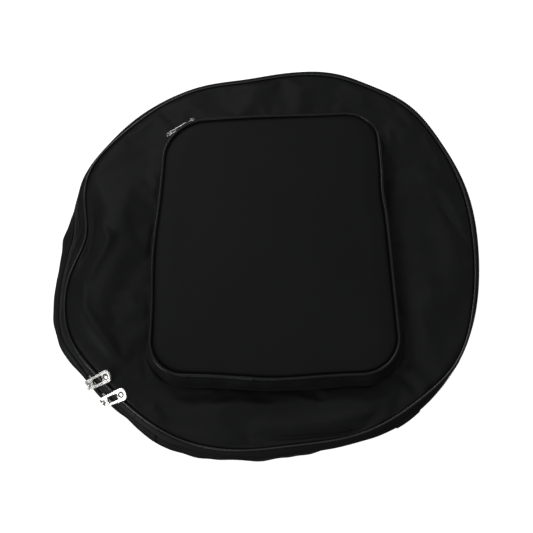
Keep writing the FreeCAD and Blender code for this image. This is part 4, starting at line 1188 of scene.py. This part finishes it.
def make_stage():
    """A pale floor that looks lit to the camera but throws little light on the bag."""
    made, tree, shader = material("floor")
    shader.inputs["Base Color"].default_value = (0.93, 0.93, 0.93, 1)
    shader.inputs["Roughness"].default_value = 0.9
    shader.inputs["Emission Color"].default_value = (1, 1, 1, 1)
    shader.inputs["Emission Strength"].default_value = 0.95
    dim = node(tree, "ShaderNodeBsdfDiffuse", {"Color": (0.25, 0.25, 0.25, 1)})
    seen = node(tree, "ShaderNodeLightPath")
    mix = node(tree, "ShaderNodeMixShader")
    tree.links.new(seen.outputs["Is Camera Ray"], mix.inputs[0])
    tree.links.new(dim.outputs[0], mix.inputs[1])
    tree.links.new(shader.outputs[0], mix.inputs[2])
    tree.links.new(mix.outputs[0], tree.nodes["Material Output"].inputs["Surface"])
    corners = [(-FLOOR, -FLOOR, 0), (FLOOR, -FLOOR, 0), (FLOOR, FLOOR, 0), (-FLOOR, FLOOR, 0)]
    floor = add_mesh("floor", corners, [(0, 1, 2, 3)], made, False)
    floor.location.z = -0.0002


def area_light(name, place, size, power):
    data = bpy.data.lights.new(name, "AREA")
    data.shape = "RECTANGLE"
    data.size, data.size_y = size
    data.energy = power
    lamp = bpy.data.objects.new(name, data)
    lamp.location = place
    lamp.rotation_euler = (Vector(AIM) - Vector(place)).to_track_quat("-Z", "Y").to_euler()
    bpy.context.scene.collection.objects.link(lamp)


def make_lights():
    world = bpy.data.worlds.new("studio")
    bpy.context.scene.world = world
    world.use_nodes = True
    background = world.node_tree.nodes["Background"]
    background.inputs["Color"].default_value = (0.96, 0.98, 1.0, 1)
    background.inputs["Strength"].default_value = 0.09
    area_light("key", (-0.75, 1.35, 1.5), (0.6, 0.5), 5.8)
    area_light("side", (1.6, 1.2, 0.8), (0.7, 0.4), 1.1)
    area_light("left", (-1.7, -0.97, 0.38), (0.7, 0.3), 6.8)
    area_light("front", (-0.6, -2.1, 0.8), (0.8, 0.4), 2.8)
    area_light("above", (0.0, -0.2, 2.4), (3.0, 2.6), 8.4)


def make_camera():
    """The camera at the picture's viewing angle, 24.5 degrees off straight above."""
    azimuth, tilt, roll, distance = 0.0698, 0.4276, -0.1076, 1.4
    rise = math.pi / 2 - tilt
    flat = math.cos(rise)
    back = Vector((math.sin(azimuth) * flat, -math.cos(azimuth) * flat, math.sin(rise)))
    level = Vector((math.cos(azimuth), math.sin(azimuth), 0))
    up = back.cross(level)
    right = level * math.cos(roll) + up * math.sin(roll)
    up = back.cross(right)
    data = bpy.data.cameras.new("camera")
    data.lens, data.sensor_width = 72.5, 36.0
    data.shift_x, data.shift_y = -0.00966, -0.02497
    camera = bpy.data.objects.new("camera", data)
    camera.matrix_world = Matrix((right, up, back)).transposed().to_4x4()
    camera.location = Vector((0, 0, 0.06)) + back * distance
    bpy.context.scene.collection.objects.link(camera)
    bpy.context.scene.camera = camera


def main():
    scene = bpy.context.scene
    scene.view_settings.view_transform = "Standard"
    make_stage()
    make_lights()
    make_camera()
    front = make_front()
    wall = make_wall()
    tapes = make_zip()
    back = make_back()
    pocket = make_pocket()
    pocket_tapes = make_pocket_zip()
    for name, (angle, skew) in SLIDERS.items():
        make_main_slider(name, angle, skew)
    make_pocket_slider()


main()
